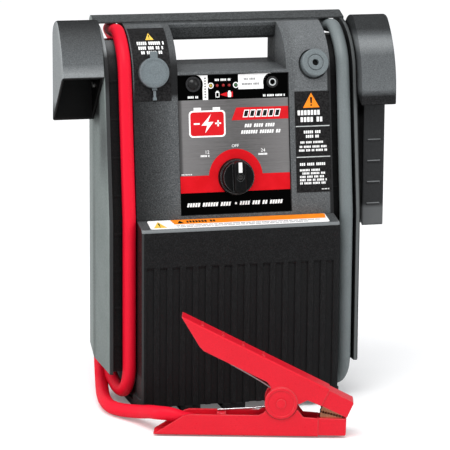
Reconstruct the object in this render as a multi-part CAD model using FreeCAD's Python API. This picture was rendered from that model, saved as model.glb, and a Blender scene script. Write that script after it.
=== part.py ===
import FreeCAD, Part
import os, math
from FreeCAD import Placement, Rotation, Vector

# Portable twin-battery unit: two-part casing with a sloping control panel, two cables that run
# down channels in the front face, two clamps and two holsters.
# The red clamp lies on the ground in front, the black one stands in the right holster.
# Frame: X to the right seen from the control panel, Y towards the back, Z up, ground at Z = 0.

os.makedirs("parts", exist_ok=True)

# ---------------------------------------------------------------- driving dimensions (mm)
GUARD_X = 153.0                 # half width over the cable guards
CHANNEL_OUT, CHANNEL_IN = 147.6, 119.5   # cable channel, outer and inner wall
CHANNEL_DEPTH = 13.0
WALL = 3.0
Y_FRONT, Y_REAR = -58.0, 46.0   # planes of the tall casing
Y_PART = 20.0                   # parting plane between the two shells
Z_GUARD = 46.0                  # underside of the cable guards
Z_BASE = 10.0                   # underside of the base
Z_KNEE, TILT = 226.5, math.radians(7.6)   # the face leans back from the knee up
Z_ROLL, ROLL_R = 392.0, 67.05   # the face starts to roll back here
Z_TOP = 457.0
FRONT_BULGE_X, FRONT_BULGE_Y = 122.5, -84.0
REAR_BULGE_X, REAR_BULGE_Y = 100.0, 84.0
Z_LEDGE, LEDGE_RISE = 220.5, 6.5          # sloping top of the front bulge
Z_LEDGE_BACK = Z_LEDGE + LEDGE_RISE
OPEN_X, OPEN_Z0, OPEN_Z1 = 66.0, 397.0, 427.3   # hand opening
PANEL_LEFT, PANEL_RIGHT = 66.5, 68.3      # panel recess, either side of the middle
PANEL_Z0, PANEL_Z1 = 231.2, 393.4
BATTERY = (181.0, 77.0, 167.0)
FOOT_H = 3.0

# runners under the base: x from, x to
RAILS = [(-121.5, -98.5), (-71.5, -48.5), (-21.5, 6.0), (36.0, 59.0), (98.5, 121.5)]
CASING_SCREWS = [(side * x, z) for x, z in ((108, 70), (108, 300), (74.8, 376))
                 for side in (-1, 1)]     # x, z
OUTLETS = [(-100.0, 397.0), (100.0, 397.0)]     # rear cable outlets: x, z
HOLSTER_SCREWS = [(4.0, 424.0), (4.0, 380.0)]   # y, z, on both sides


# ---------------------------------------------------------------- helpers
def save(name, shape):
    shape.exportStep("parts/%s.step" % name)


def box(x0, x1, y0, y1, z0, z1):
    return Part.makeBox(x1 - x0, y1 - y0, z1 - z0, Vector(x0, y0, z0))


def cylinder(start, direction, radius, height):
    return Part.makeCylinder(radius, height, Vector(*start), Vector(*direction))


def disc(z0, z1, radius, x=0, y=0):
    """upright cylinder from z0 to z1, used in the local frames."""
    return cylinder((x, y, z0), (0, 0, 1), radius, z1 - z0)


def hex_prism(x, y, z, radius, height):
    """hexagonal prism, radius over the corners."""
    corners = [Vector(x + radius * math.cos(math.radians(60 * k)),
                      y + radius * math.sin(math.radians(60 * k)), z) for k in range(7)]
    return Part.Face(Part.makePolygon(corners)).extrude(Vector(0, 0, height))


def fuse(first, *others):
    return first.multiFuse(list(others)).removeSplitter()


def cut(shape, *tools):
    for tool in tools:
        shape = shape.cut(tool)
    return shape


def group(shapes):
    return Part.makeCompound([solid for shape in shapes for solid in shape.Solids])


def largest(shape):
    return sorted(shape.Solids, key=lambda solid: -solid.Volume)[0]


def span(side, low, high):
    """range low..high on the side +1 or -1, in rising order."""
    return sorted((side * low, side * high))


def near(a, b, tolerance=0.2):
    return abs(a - b) < tolerance


def edge_direction(edge):
    along = edge.Vertexes[-1].Point.sub(edge.Vertexes[0].Point)
    return along.normalize() if along.Length > 1e-6 else Vector(0, 0, 0)


def along_z(edge):
    return abs(edge_direction(edge).z) > 0.9


def fillet(shape, radius, pick):
    edges = [edge for edge in shape.Edges if pick(edge)]
    # guards against a rounding the kernel cannot build: the shape then stays sharp
    try:
        return shape.makeFillet(radius, edges) if edges else shape
    except Exception:
        return shape


def prism_yz(points, x0, x1):
    """closed polygon of (y, z) points, extruded along X."""
    corners = [Vector(x0, y, z) for y, z in points]
    return Part.Face(Part.makePolygon(corners + [corners[0]])).extrude(Vector(x1 - x0, 0, 0))


def arc_point(centre, radius, angle):
    return Vector(0, centre[0] + radius * math.cos(angle), centre[1] + radius * math.sin(angle))


# ---------------------------------------------------------------- front face of the casing
Y_ROLL = Y_FRONT + (Z_ROLL - Z_KNEE) * math.tan(TILT)
ROLL_Y = Y_ROLL + ROLL_R * math.cos(TILT)     # centre of the roll-back
ROLL_Z = Z_ROLL - ROLL_R * math.sin(TILT)


def front_y(z, depth=0.0):
    """y of the front face at height z, or of a curve at a depth behind it."""
    if z < Z_KNEE:
        return Y_FRONT + depth
    if z < Z_ROLL:
        return Y_FRONT + (z - Z_KNEE) * math.tan(TILT) + depth
    return ROLL_Y - math.sqrt((ROLL_R - depth) ** 2 - (z - ROLL_Z) ** 2)


def face_prism(depth, z_low, y_end, points, x0, x1):
    """front curve, depth inwards, from z_low up to the plane y_end, closed by straight lines
    through the (y, z) points and extruded along X."""
    radius = ROLL_R - depth
    first = Vector(0, Y_FRONT + depth, z_low)
    knee = Vector(0, Y_FRONT + depth, Z_KNEE - depth * math.tan(TILT / 2))
    start = Vector(0, ROLL_Y - radius * math.cos(TILT), ROLL_Z + radius * math.sin(TILT))
    end = Vector(0, y_end, ROLL_Z + math.sqrt(radius * radius - (y_end - ROLL_Y) ** 2))
    start_angle = math.atan2(start.z - ROLL_Z, start.y - ROLL_Y)
    end_angle = math.atan2(end.z - ROLL_Z, end.y - ROLL_Y)
    middle = arc_point((ROLL_Y, ROLL_Z), radius, (start_angle + end_angle) / 2)
    edges = [Part.makeLine(first, knee), Part.makeLine(knee, start),
             Part.Arc(start, middle, end).toShape()]
    corners = [end] + [Vector(0, y, z) for y, z in points] + [first]
    edges += [Part.makeLine(a, b) for a, b in zip(corners, corners[1:])]
    face = Part.Face(Part.Wire(edges))
    face.translate(Vector(x0, 0, 0))
    return face.extrude(Vector(x1 - x0, 0, 0))


# ---------------------------------------------------------------- local frames on the face
# local x across, local y up the slope, local z out of the face
def slope(z):
    """distance up the slope from the knee to height z."""
    return (z - Z_KNEE) / math.cos(TILT)


def roll_frame(x, z):
    """frame on the rolled part of the face."""
    angle = math.asin((z - ROLL_Z) / ROLL_R)
    return Placement(Vector(x, front_y(z), z), Rotation(Vector(1, 0, 0), 90 - math.degrees(angle)))


def panel_frame(x, y):
    return PANEL.multiply(Placement(Vector(x, y, 0), Rotation()))


def place(frame, shape):
    shape = shape.copy()
    shape.Placement = frame.multiply(shape.Placement)
    return shape


PANEL = Placement(Vector(0, Y_FRONT, Z_KNEE), Rotation(Vector(1, 0, 0), 90 - math.degrees(TILT)))
PANEL_Y0, PANEL_Y1 = slope(PANEL_Z0), slope(PANEL_Z1)
KNOB_X, KNOB_Y = 1.5, slope(274.0)
BUTTON_X, JACK_X, BUTTON_Y = -47.4, 48.5, slope(382.6)
KNOB = panel_frame(KNOB_X, KNOB_Y)
BUTTON = panel_frame(BUTTON_X, BUTTON_Y)
JACK = panel_frame(JACK_X, BUTTON_Y)
SOCKET = roll_frame(-94.5, 397.0)
BUZZER = roll_frame(100.0, 402.8)


# ---------------------------------------------------------------- casing
def outer_volume():
    tall = face_prism(0, Z_GUARD, Y_PART,
                      [(Y_PART, 450.9), (36.0, Z_TOP), (41.0, Z_TOP), (Y_REAR, 452.0),
                       (Y_REAR, 61.0), (Y_PART, Z_GUARD)], -GUARD_X, GUARD_X)
    # soft front outer edges of the guards
    tall = fillet(tall, 2.6, lambda e: near(abs(e.CenterOfMass.x), GUARD_X)
                  and e.CenterOfMass.y < -10)
    core = box(-CHANNEL_IN, CHANNEL_IN, Y_FRONT, Y_REAR, Z_BASE, 62)
    bulge = prism_yz([(FRONT_BULGE_Y, Z_BASE), (FRONT_BULGE_Y, Z_LEDGE), (Y_FRONT, Z_LEDGE_BACK),
                      (-50, Z_LEDGE_BACK), (-50, Z_BASE)], -FRONT_BULGE_X, FRONT_BULGE_X)
    bulge = fillet(bulge, 7.0, lambda e: near(e.CenterOfMass.y, FRONT_BULGE_Y)
                   and near(abs(e.CenterOfMass.x), FRONT_BULGE_X))
    bulge = fillet(bulge, 4.5, lambda e: near(e.CenterOfMass.z, Z_LEDGE, 2.5)
                   and e.CenterOfMass.y < -78)
    rear = prism_yz([(40, Z_BASE), (REAR_BULGE_Y, Z_BASE), (REAR_BULGE_Y, 203), (40, 226)],
                    -REAR_BULGE_X, REAR_BULGE_X)
    rear = fillet(rear, 8.0, lambda e: near(e.CenterOfMass.y, REAR_BULGE_Y)
                  and near(abs(e.CenterOfMass.x), REAR_BULGE_X))
    rails = []
    for x0, x1 in RAILS:
        # rails wider out than the rear bulge end at the tall casing
        y_end = REAR_BULGE_Y - 2 if max(abs(x0), abs(x1)) < REAR_BULGE_X else Y_REAR - 1
        rails.append(box(x0, x1, FRONT_BULGE_Y + 1.5, y_end, FOOT_H, Z_BASE + 1))
    return fuse(tall, core, bulge, rear, *rails)


def cavity():
    z_floor = Z_GUARD + WALL
    inner = face_prism(WALL, z_floor, Y_PART,
                       [(Y_PART, 447.6), (36.0, 453.6), (41.0, 453.6), (43.0, 451.0),
                        (43.0, 62.6), (Y_PART, z_floor)], -GUARD_X + WALL, GUARD_X - WALL)
    # walls round the cable channels
    for side in (-1, 1):
        x0, x1 = span(side, CHANNEL_IN - WALL, CHANNEL_OUT + WALL)
        y_wall = Y_PART + WALL
        inner = inner.cut(face_prism(CHANNEL_DEPTH + WALL, 30, y_wall,
                                     [(y_wall, 480), (-110, 480), (-110, 30)], x0, x1))
        inner = inner.cut(box(x0 - 0.6, x1 + 0.6, -80, 80, 425.5, 470))
    # walls round the hand opening, then the hollow of the grip above it
    inner = inner.cut(box(-OPEN_X - 3, OPEN_X + 3, -80, 80, OPEN_Z0 - 3, 470))
    inner = inner.fuse(prism_yz([(24.5, 432.5), (16.5, 445.5), (20, 447.6), (36, 453.4),
                                 (41, 453.4), (43, 451), (43, 432.5)],
                                -OPEN_X - 3.5, OPEN_X + 3.5))
    z_floor = Z_BASE + WALL
    y_bulge = FRONT_BULGE_Y + 3.5
    inner = fuse(
        inner,
        box(-CHANNEL_IN + WALL, CHANNEL_IN - WALL, Y_FRONT + WALL, Y_REAR - WALL, z_floor, 70),
        box(-REAR_BULGE_X + WALL, REAR_BULGE_X - WALL, 30, REAR_BULGE_Y - WALL, z_floor, 196),
        prism_yz([(-70, z_floor), (y_bulge, z_floor), (y_bulge, 217.2), (-57, 223.8),
                  (-50, 223.8), (-50, z_floor)], -FRONT_BULGE_X + 3.5, FRONT_BULGE_X - 3.5))
    # keep solid round the panel recess floor
    return inner.cut(place(PANEL, box(-PANEL_LEFT - 3, PANEL_RIGHT + 3,
                                      PANEL_Y0 - 3, PANEL_Y1 + 3, -8.0, 30)))


def face_openings():
    """channels, windows at their top, hand opening, and the two steps of the panel recess."""
    tools = []
    for side in (-1, 1):
        x0, x1 = span(side, CHANNEL_IN, CHANNEL_OUT)
        tools.append(face_prism(CHANNEL_DEPTH, 20, Y_PART,
                                [(Y_PART, 480), (-110, 480), (-110, 20)], x0, x1))
        tools.append(box(x0 - 0.6, x1 + 0.6, Y_PART - 0.01, 80, 428.5, 449.0))
        tools.append(box(x0, x1, Y_PART - 14, Y_PART, 428.5, 470))
    tools.append(prism_yz([(-80, OPEN_Z0 - 1.9), (80, OPEN_Z0 + 5.0), (80, OPEN_Z1),
                           (24, OPEN_Z1), (20, OPEN_Z1 + 2), (12.5, 446.5), (12.5, 480),
                           (-80, 480)], -OPEN_X, OPEN_X))
    tools.append(place(PANEL, box(-PANEL_LEFT, PANEL_RIGHT, PANEL_Y0, PANEL_Y1, -4.5, 30)))
    tools.append(place(PANEL, box(-PANEL_LEFT + 6, PANEL_RIGHT - 6,
                                  PANEL_Y0 + 6, PANEL_Y1 - 3.4, -12, 0)))
    return tools


def add_flutes(shell, count=15, x_first=-109.5, width=217.0):
    """upright flutes in the front of the bulge."""
    y_out, y_in = FRONT_BULGE_Y - 1, FRONT_BULGE_Y + 1.9
    for i in range(count):
        x = x_first + i * (width / (count - 1))
        shell = shell.cut(prism_yz([(y_out, 178.5), (y_in, 173.5), (y_in, Z_BASE - 1),
                                    (y_out, Z_BASE - 1)], x - 4.6, x + 4.6))
    return shell


def add_channel_ribs(shell, z_first=78, pitch=44, count=8):
    """small cross ribs on the channel floors."""
    ribs = []
    for side in (-1, 1):
        x0, x1 = span(side, CHANNEL_IN - 1, CHANNEL_OUT + 1)
        for i in range(count):
            z = z_first + i * pitch
            y = front_y(z) + CHANNEL_DEPTH / math.cos(TILT if z > Z_KNEE else 0)
            ribs.append(box(x0, x1, y - 0.3, y + 2, z - 1.6, z + 1.6))
    return shell.multiFuse(ribs)


def add_seats(shell):
    """flat round pad for the socket, sunk round seat for the buzzer."""
    shell = shell.fuse(place(SOCKET, disc(-7, 0.0, 18.0)))
    shell = shell.cut(place(SOCKET, disc(0.0, 40, 18.6)))
    shell = shell.fuse(place(BUZZER, disc(-9, -3.6, 19.0, -1.0, -0.8)))
    shell = shell.cut(place(BUZZER, disc(-4.5, 40, 17.8, -1.0, -0.8)))
    shell = shell.cut(place(SOCKET, disc(-60, 5, 12.9)))
    return shell.cut(place(BUZZER, disc(-60, 5, 9.3)))


def add_fixings(shell):
    """screw posts between the shells, rear cable outlets, holster screw bosses."""
    for x, z in CASING_SCREWS:
        y0 = (front_y(z) if z > Z_KNEE else FRONT_BULGE_Y) + 2.0
        shell = shell.fuse(box(x - 5, x + 5, y0, Y_REAR - 1, z - 5, z + 5))
        shell = shell.cut(cylinder((x, Y_REAR + 1, z), (0, -1, 0), 4.2, 7.0))
        shell = shell.cut(cylinder((x, Y_REAR + 1, z), (0, -1, 0), 1.95, 56))
    for x, z in OUTLETS:
        shell = shell.cut(cylinder((x, 30, z), (0, 1, 0), 11.0, 30))
    for side in (-1, 1):
        for y, z in HOLSTER_SCREWS:
            shell = shell.fuse(cylinder((side * 142.5, y, z), (side, 0, 0), 4.0, 8.0))
            shell = shell.cut(cylinder((side * 141.0, y, z), (side, 0, 0), 1.95, 14))
    return shell.removeSplitter()


casing = cut(outer_volume().cut(cavity()), *face_openings())
casing = add_fixings(add_seats(add_channel_ribs(add_flutes(casing))))
FAR = 600
save("front_shell", largest(casing.common(box(-FAR, FAR, -FAR, Y_PART, -10, FAR))))
save("rear_shell", largest(casing.common(box(-FAR, FAR, Y_PART, FAR, -10, FAR))))

# ---------------------------------------------------------------- feet, under three of the rails
foot_pads = []
for (x0, x1), y in ((RAILS[0], -78.0), (RAILS[0], 18.0), (RAILS[-1], -78.0), (RAILS[-1], 18.0),
                    (RAILS[2], -12)):
    pad = box(x0 + 2, x1 - 2, y, y + 24, 0, FOOT_H)
    foot_pads.append(fillet(pad, 1.2, lambda e: near(e.CenterOfMass.z, 0)))
save("foot_pads", group(foot_pads))

# ---------------------------------------------------------------- casing screws, cross slotted
screws = []
for x, z in CASING_SCREWS:
    head = cylinder((x, Y_REAR - 2.4, z), (0, -1, 0), 3.6, 2.6)
    shank = cylinder((x, Y_REAR - 4.9, z), (0, -1, 0), 1.9, 44)
    upright_slot = box(x - 0.5, x + 0.5, Y_REAR - 3.4, Y_REAR + 1, z - 2.4, z + 2.4)
    level_slot = box(x - 2.4, x + 2.4, Y_REAR - 3.4, Y_REAR + 1, z - 0.5, z + 0.5)
    screws.append(cut(head.fuse(shank), upright_slot, level_slot).removeSplitter())
save("casing_screws", group(screws))

# ---------------------------------------------------------------- holsters
HOLSTER_IN = GUARD_X + 0.25         # inner faces
HOLSTER_TOP = 456.0
HOLSTER_REAR = 21.0
SHOULDER_R = 15.5                   # radius of the top shoulder


def holster_outline(y_face, z_face, face_r, inset, z_low):
    """closed YZ outline, inset inwards: upright front up to z_face, a long curve of radius
    face_r, a shoulder, a round back."""
    half_pi = math.pi / 2
    z_shoulder = HOLSTER_TOP - SHOULDER_R
    meet = math.pi - math.asin((z_shoulder - z_face) / (face_r - SHOULDER_R))
    face_centre = (y_face + face_r, z_face)
    shoulder = (face_centre[0] + (face_r - SHOULDER_R) * math.cos(meet), z_shoulder)
    back_r = HOLSTER_REAR - shoulder[0]
    back = (shoulder[0], HOLSTER_TOP - back_r)
    edges = []
    for centre, radius, start, end in ((face_centre, face_r - inset, math.pi, meet),
                                       (shoulder, SHOULDER_R - inset, meet, half_pi),
                                       (back, back_r - inset, half_pi, 0)):
        edges.append(Part.Arc(*[arc_point(centre, radius, angle)
                                for angle in (start, (start + end) / 2, end)]).toShape())
    front_low = Vector(0, y_face + inset, z_low)
    rear_low = Vector(0, HOLSTER_REAR - inset, z_low)
    edges.insert(0, Part.makeLine(front_low, arc_point(face_centre, face_r - inset, math.pi)))
    edges.append(Part.makeLine(arc_point(back, back_r - inset, 0), rear_low))
    edges.append(Part.makeLine(rear_low, front_low))
    return Part.Face(Part.Wire(Part.__sortEdges__(edges)))


def holster(side, x_out, y_face, z_face, face_r, mouth):
    """mouth: (y, z) outline of what is cut away from below."""
    outer = holster_outline(y_face, z_face, face_r, 0.0, 300.0)
    inner = holster_outline(y_face, z_face, face_r, WALL, 290.0)
    outer.translate(Vector(HOLSTER_IN, 0, 0))
    outer = outer.extrude(Vector(x_out - HOLSTER_IN, 0, 0))
    outer = fillet(outer, 3.2, lambda e: near(e.CenterOfMass.x, x_out) and e.CenterOfMass.z > 302)
    inner.translate(Vector(HOLSTER_IN + WALL, 0, 0))
    inner = inner.extrude(Vector(x_out - HOLSTER_IN - 2 * WALL, 0, 0))
    body = cut(outer, inner, prism_yz(mouth, HOLSTER_IN - 5, x_out + 5))
    for y, z in HOLSTER_SCREWS:
        body = body.cut(cylinder((HOLSTER_IN - 1, y, z), (1, 0, 0), 2.05, 6))
    if side < 0:
        body = body.mirror(Vector(0, 0, 0), Vector(1, 0, 0))
    return largest(body)


save("holster_left", holster(-1, 202.6, -37.0, 386.0, 92.9, [
    (-60, 398.5), (-37.0, 394.5), (HOLSTER_REAR, 336.6), (60, 297.0), (60, 200), (-60, 200)]))
save("holster_right", holster(1, 196.5, -55.0, 368.0, 115.8, [
    (-80, 350.0), (-55.0, 354.0), (-40.0, 362.0), (-30.0, 392.0), (0.0, 424.0), (16.0, 436.0),
    (60, 436.0), (60, 200), (-80, 200)]))

screws = []
for side in (-1, 1):
    for y, z in HOLSTER_SCREWS:
        head = cylinder((side * (HOLSTER_IN + 3.05), y, z), (side, 0, 0), 3.6, 2.2)
        shank = cylinder((side * (HOLSTER_IN + 3.1), y, z), (-side, 0, 0), 1.85, 13.0)
        slot = box(*span(side, HOLSTER_IN + 4.4, HOLSTER_IN + 6.5),
                   y - 0.5, y + 0.5, z - 2.6, z + 2.6)
        screws.append(head.fuse(shank).cut(slot).removeSplitter())
save("holster_screws", group(screws))

# ---------------------------------------------------------------- control panel
# lamps: file name, x of each one
LAMPS = [("led_yellow", [-26.0]), ("led_red", [-18.3, -11.0, -3.9]), ("led_green", [4.3])]
LAMP_Y = slope(380.4)

# panel holes: x, y up the slope, radius
holes = [(KNOB_X, KNOB_Y, 9.2), (BUTTON_X, BUTTON_Y, 6.5), (JACK_X, BUTTON_Y, 5.4)]
holes += [(x, LAMP_Y, 1.95) for _, places in LAMPS for x in places]


def panel_sheet(gap, z0, z1, clearance):
    """sheet in the recess, gap inside its edge, with every hole opened by clearance."""
    sheet = box(-PANEL_LEFT + gap, PANEL_RIGHT - gap, PANEL_Y0 + gap, PANEL_Y1 - gap, z0, z1)
    sheet = cut(sheet, *[disc(-6, 0, radius + clearance, x, y) for x, y, radius in holes])
    return place(PANEL, sheet)


save("panel_plate", panel_sheet(0.3, -4.5, -2.5, 0))
save("panel_overlay", panel_sheet(0.9, -2.5, -2.1, 0.1))

# selector switch behind the plate, its flatted shaft, and the studs with their nuts
switch = disc(-40.0, -4.5, 29.0).fuse(disc(-4.6, -2.0, 8.9)).cut(disc(-31.0, 2, 3.08))
save("selector_switch_body", place(KNOB, switch.removeSplitter()))
save("selector_shaft", place(KNOB, disc(-30.8, 9.5, 3.0).cut(box(2.2, 5, -5, 5, 0.5, 12))))
STUD_CIRCLE_R = 18
studs, nuts = [], []
for degrees in (45, 135, 225, 315):
    x = STUD_CIRCLE_R * math.cos(math.radians(degrees))
    y = STUD_CIRCLE_R * math.sin(math.radians(degrees))
    studs.append(place(KNOB, disc(-56, -40, 4.0, x, y)))
    nuts.append(place(KNOB, hex_prism(x, y, -52, 7, 4.5).cut(disc(-60, -40, 4.03, x, y))))
save("switch_studs", group(studs))
save("switch_nuts", group(nuts))


def selector_knob():
    knob = Part.makeCone(21.75, 20.6, 6.0, Vector(0, 0, -1.5), Vector(0, 0, 1))
    knob = knob.fuse(Part.makeCone(19.4, 18.2, 6.5, Vector(0, 0, 4.4), Vector(0, 0, 1)))
    grip = box(-7.0, 7.0, -19.0, 19.0, 8.0, 19.0)
    grip = fillet(grip, 6.0, along_z)
    grip = fillet(grip, 1.6, lambda e: near(e.CenterOfMass.z, 19.0))
    knob = knob.fuse(grip)
    # bore, with a key that meets the flat of the shaft
    key = box(2.26, 3.4, -1.6, 1.6, 0.8, 9.6).common(disc(0, 12, 3.3))
    knob = knob.cut(disc(-3, 10, 3.04)).fuse(key)
    # screw hole, then the groove of the pointer
    knob = cut(knob, disc(16.0, 22, 4.4), disc(9, 18, 1.7), box(-2.2, 2.2, 5.6, 17.4, 18.4, 20))
    return knob.removeSplitter()


save("selector_knob", place(KNOB, selector_knob()))
save("knob_pointer", place(KNOB, box(-2.15, 2.15, 5.65, 17.35, 18.4, 19.1)))
screw = disc(16.1, 17.8, 3.4).fuse(disc(9.7, 16.2, 1.6)).cut(box(-2.4, 2.4, -0.45, 0.45, 17.1, 19))
save("knob_screw", place(KNOB, screw.removeSplitter()))

# indicator board, cleared round the switch, and its lamps
board = box(-58, 34, slope(366.5), slope(389.5), -14.0, -12.4)
save("indicator_board", place(PANEL, board.cut(disc(-60, 0, 31, KNOB_X, KNOB_Y))))
LAMP_R, LAMP_TIP = 1.75, -1.6
for name, places in LAMPS:
    lamps = []
    for x in places:
        lamp = disc(-12.4, LAMP_TIP, LAMP_R, x, LAMP_Y)
        lamp = lamp.fuse(Part.makeSphere(LAMP_R, Vector(x, LAMP_Y, LAMP_TIP)))
        lamp = lamp.fuse(disc(-12.4, -10.9, 2.3, x, LAMP_Y))
        lamps.append(place(PANEL, lamp.removeSplitter()))
    save(name, group(lamps))

# push button
button_top = Part.makeSphere(9.2, Vector(0, 0, -7.0)).common(disc(-1.2, 6, 6.2))
save("status_button", place(BUTTON, disc(-8.4, -1.0, 6.2).fuse(button_top).removeSplitter()))
save("button_bezel", place(BUTTON, disc(-2.1, -0.2, 9.0).cut(disc(-4, 2, 6.5))))
save("status_switch", place(BUTTON, fuse(box(-6, 6, -6, 4, -12.4, -11.0),
                                         disc(-11.1, -10.1, 1.8))))

# charging jack
jack = disc(-18.0, -2.0, 5.2).fuse(disc(-2.1, -0.7, 6.8)).cut(disc(-11.0, 1, 2.8))
save("charging_jack", place(JACK, jack.removeSplitter()))
save("jack_nut", place(JACK, hex_prism(0, 0, -7.5, 8, 3.0).cut(disc(-20, 0, 5.25))))

# ---------------------------------------------------------------- labels
LABEL_T = 0.4


def face_solid(depth, x0, x1):
    return face_prism(depth, 60, Y_PART, [(Y_PART, 60)], x0, x1)


def face_label(x0, x1, z0, z1):
    """thin sheet that follows the front face."""
    sheet = face_solid(-LABEL_T, x0, x1).cut(face_solid(0, x0 - 5, x1 + 5))
    return sheet.common(box(x0, x1, -150, Y_PART - 3, z0, z1))


socket_label = face_label(-117.6, -74.0, 364.5, 444.5).cut(place(SOCKET, disc(-8, 30, 18.7)))
save("socket_label", largest(socket_label))
save("buzzer_label", largest(face_label(74.8, 117.4, 252.6, 370.5)))
ledge_angle = math.degrees(math.atan2(LEDGE_RISE, Y_FRONT - FRONT_BULGE_Y))
LEDGE = Placement(Vector(0, FRONT_BULGE_Y, Z_LEDGE), Rotation(Vector(1, 0, 0), ledge_angle))
save("ledge_label", place(LEDGE, fillet(box(-108, 108, 3.7, 26.3, 0.0, LABEL_T), 2.5, along_z)))

# ---------------------------------------------------------------- 12 V outlet and its cap
barrel = cut(disc(-42.0, 0.2, 12.5).fuse(disc(0.05, 3.4, 14.4)),
             disc(-32.0, 6, 10.5), disc(-43.0, -31.99, 10.8))
save("outlet_barrel", place(SOCKET, barrel.removeSplitter()))
save("outlet_insulator", place(SOCKET, disc(-42.0, -32.05, 10.75).cut(disc(-43, -31, 3.05))))
contact = disc(-48.0, -32.1, 3.0).fuse(disc(-44.5, -42.1, 5.5))
save("outlet_contact", place(SOCKET, contact.removeSplitter()))

cap = disc(0.6, 6.2, 17.6).cut(disc(0, 3.8, 16.0))
cap = fillet(cap, 1.4, lambda e: near(e.CenterOfMass.z, 6.2))
cap = cap.fuse(box(-4.4, 4.4, 15.0, 24.6, 4.2, 6.0))        # tab at the upper edge
cap = cap.fuse(box(-2.9, 2.9, -19.4, -16.4, 0.6, 2.2))      # hinge at the lower edge
cap = cap.fuse(cylinder((-2.9, -19.4, 1.3), (1, 0, 0), 1.0, 5.8))
save("outlet_cap", place(SOCKET, cap.removeSplitter()))
strap = box(-1.5, 1.5, -31.8, -20.8, 0.5, 1.5).fuse(box(-2.2, 2.2, -31.8, -28.6, -0.6, 1.5))
strap = place(SOCKET, strap.removeSplitter()).cut(face_solid(-0.45, -125, -60))
save("cap_strap", largest(strap))

# ---------------------------------------------------------------- reverse-connection buzzer
ring_groove = disc(6.0, 10, 9.9).cut(disc(6.0, 10, 8.7))
horn = cut(disc(-4.45, 7.0, 16.2), ring_groove, disc(2.0, 10, 3.9))
horn = fillet(horn.removeSplitter(), 1.2, lambda e: near(e.CenterOfMass.z, 7.0) and e.Length > 90)
save("buzzer_horn", place(BUZZER, horn))
save("buzzer_driver", place(BUZZER, fuse(disc(-14.0, -4.55, 9.0), disc(-24.0, -13.9, 13.0))))

# ---------------------------------------------------------------- batteries and what holds them
length, width, height = BATTERY
Z_TRAY = Z_BASE + WALL + 0.1
z_low = Z_BASE + WALL + 3.3
z_high = z_low + height
FRONT_BATTERY_Y, REAR_BATTERY_Y = -80.2, -1.3       # front faces
TERMINALS_X = (-length / 2 + 14, length / 2 - 14)

posts = []
for name, y0 in (("battery_front", FRONT_BATTERY_Y), ("battery_rear", REAR_BATTERY_Y)):
    battery = box(-length / 2, length / 2, y0, y0 + width, z_low, z_high)
    battery = fillet(battery, 2.5, along_z)
    for x in TERMINALS_X:
        battery = battery.cut(box(x - 9, x + 9, y0 + 8, y0 + 26, z_high - 9, z_high + 1))
        post = box(x - 6, x + 6, y0 + 15, y0 + 19, z_high - 9, z_high + 6)
        posts.append(post.cut(cylinder((x, y0 + 10, z_high + 1.5), (0, 1, 0), 2.6, 14)))
    save(name, battery)
save("battery_terminals", group(posts))
save("battery_foam", box(-86, 86, FRONT_BATTERY_Y + width + 0.05, REAR_BATTERY_Y - 0.05,
                         z_low + 6, z_high - 6))
save("battery_tray", fuse(box(-94.5, 94.5, -80.3, 76.0, Z_TRAY, Z_BASE + WALL + 3.2),
                          box(-94.5, -91.3, -80.3, 76, Z_TRAY, 46),
                          box(91.3, 94.5, -80.3, 76, Z_TRAY, 46)))
save("battery_clamp_plate", fuse(box(-40, 40, -30, 28, z_high + 0.1, z_high + 5),
                                 box(-44, -40, -12, 10, z_high + 0.1, z_high + 12),
                                 box(40, 44, -12, 10, z_high + 0.1, z_high + 12)))
save("battery_link", box(-length / 2 + 8, -length / 2 + 20, FRONT_BATTERY_Y + 19.1,
                         REAR_BATTERY_Y + 14.9, z_high + 1.5, z_high + 3.5))
save("main_fuse", fuse(box(-16, 16, 24, 38, 232, 246), box(-28, -15.9, 29, 33, 236, 242),
                       box(15.9, 28, 29, 33, 236, 242)))

# ---------------------------------------------------------------- clamp frames
# local s along the clamp towards the jaws, y through its width, z across it;
# z = 0 is the outside of the lower lever, which is the front lever of the black clamp
YAW = math.radians(-16.5)
COS_YAW, SIN_YAW = math.cos(YAW), math.sin(YAW)
RED_CLAMP = FreeCAD.Matrix(COS_YAW, -SIN_YAW, 0, -16.32,
                           SIN_YAW, COS_YAW, 0, -183.02,
                           0, 0, 1, 1.55,
                           0, 0, 0, 1)
BLACK_CLAMP = FreeCAD.Matrix(0, 1, 0, 176.0,
                             0, 0, 1, -34.0,
                             1, 0, 0, 315.5,
                             0, 0, 0, 1)

# ---------------------------------------------------------------- cables
CABLE_R = 7.9


def smooth(points, step=7.0):
    """centripetal Catmull-Rom curve through the points, sampled about every step mm."""
    path = [Vector(*p) for p in points]
    path = [path[0] + (path[0] - path[1])] + path + [path[-1] + (path[-1] - path[-2])]
    samples = [path[1]]
    for i in range(1, len(path) - 2):
        near4 = path[i - 1:i + 3]
        knots = [0.0]
        for a, b in zip(near4, near4[1:]):
            knots.append(knots[-1] + math.sqrt((b - a).Length))
        count = max(1, int(round((near4[2] - near4[1]).Length / step)))
        for k in range(1, count + 1):
            u = knots[1] + (knots[2] - knots[1]) * k / count
            # blend neighbours pairwise, over one, then two knot spans, then the middle span
            a1, a2, a3 = [blend(near4[j], near4[j + 1], knots[j], knots[j + 1], u)
                          for j in range(3)]
            b1 = blend(a1, a2, knots[0], knots[2], u)
            b2 = blend(a2, a3, knots[1], knots[3], u)
            samples.append(blend(b1, b2, knots[1], knots[2], u))
    return samples


def blend(start, end, u0, u1, u):
    return start * ((u1 - u) / (u1 - u0)) + end * ((u - u0) / (u1 - u0))


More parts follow.
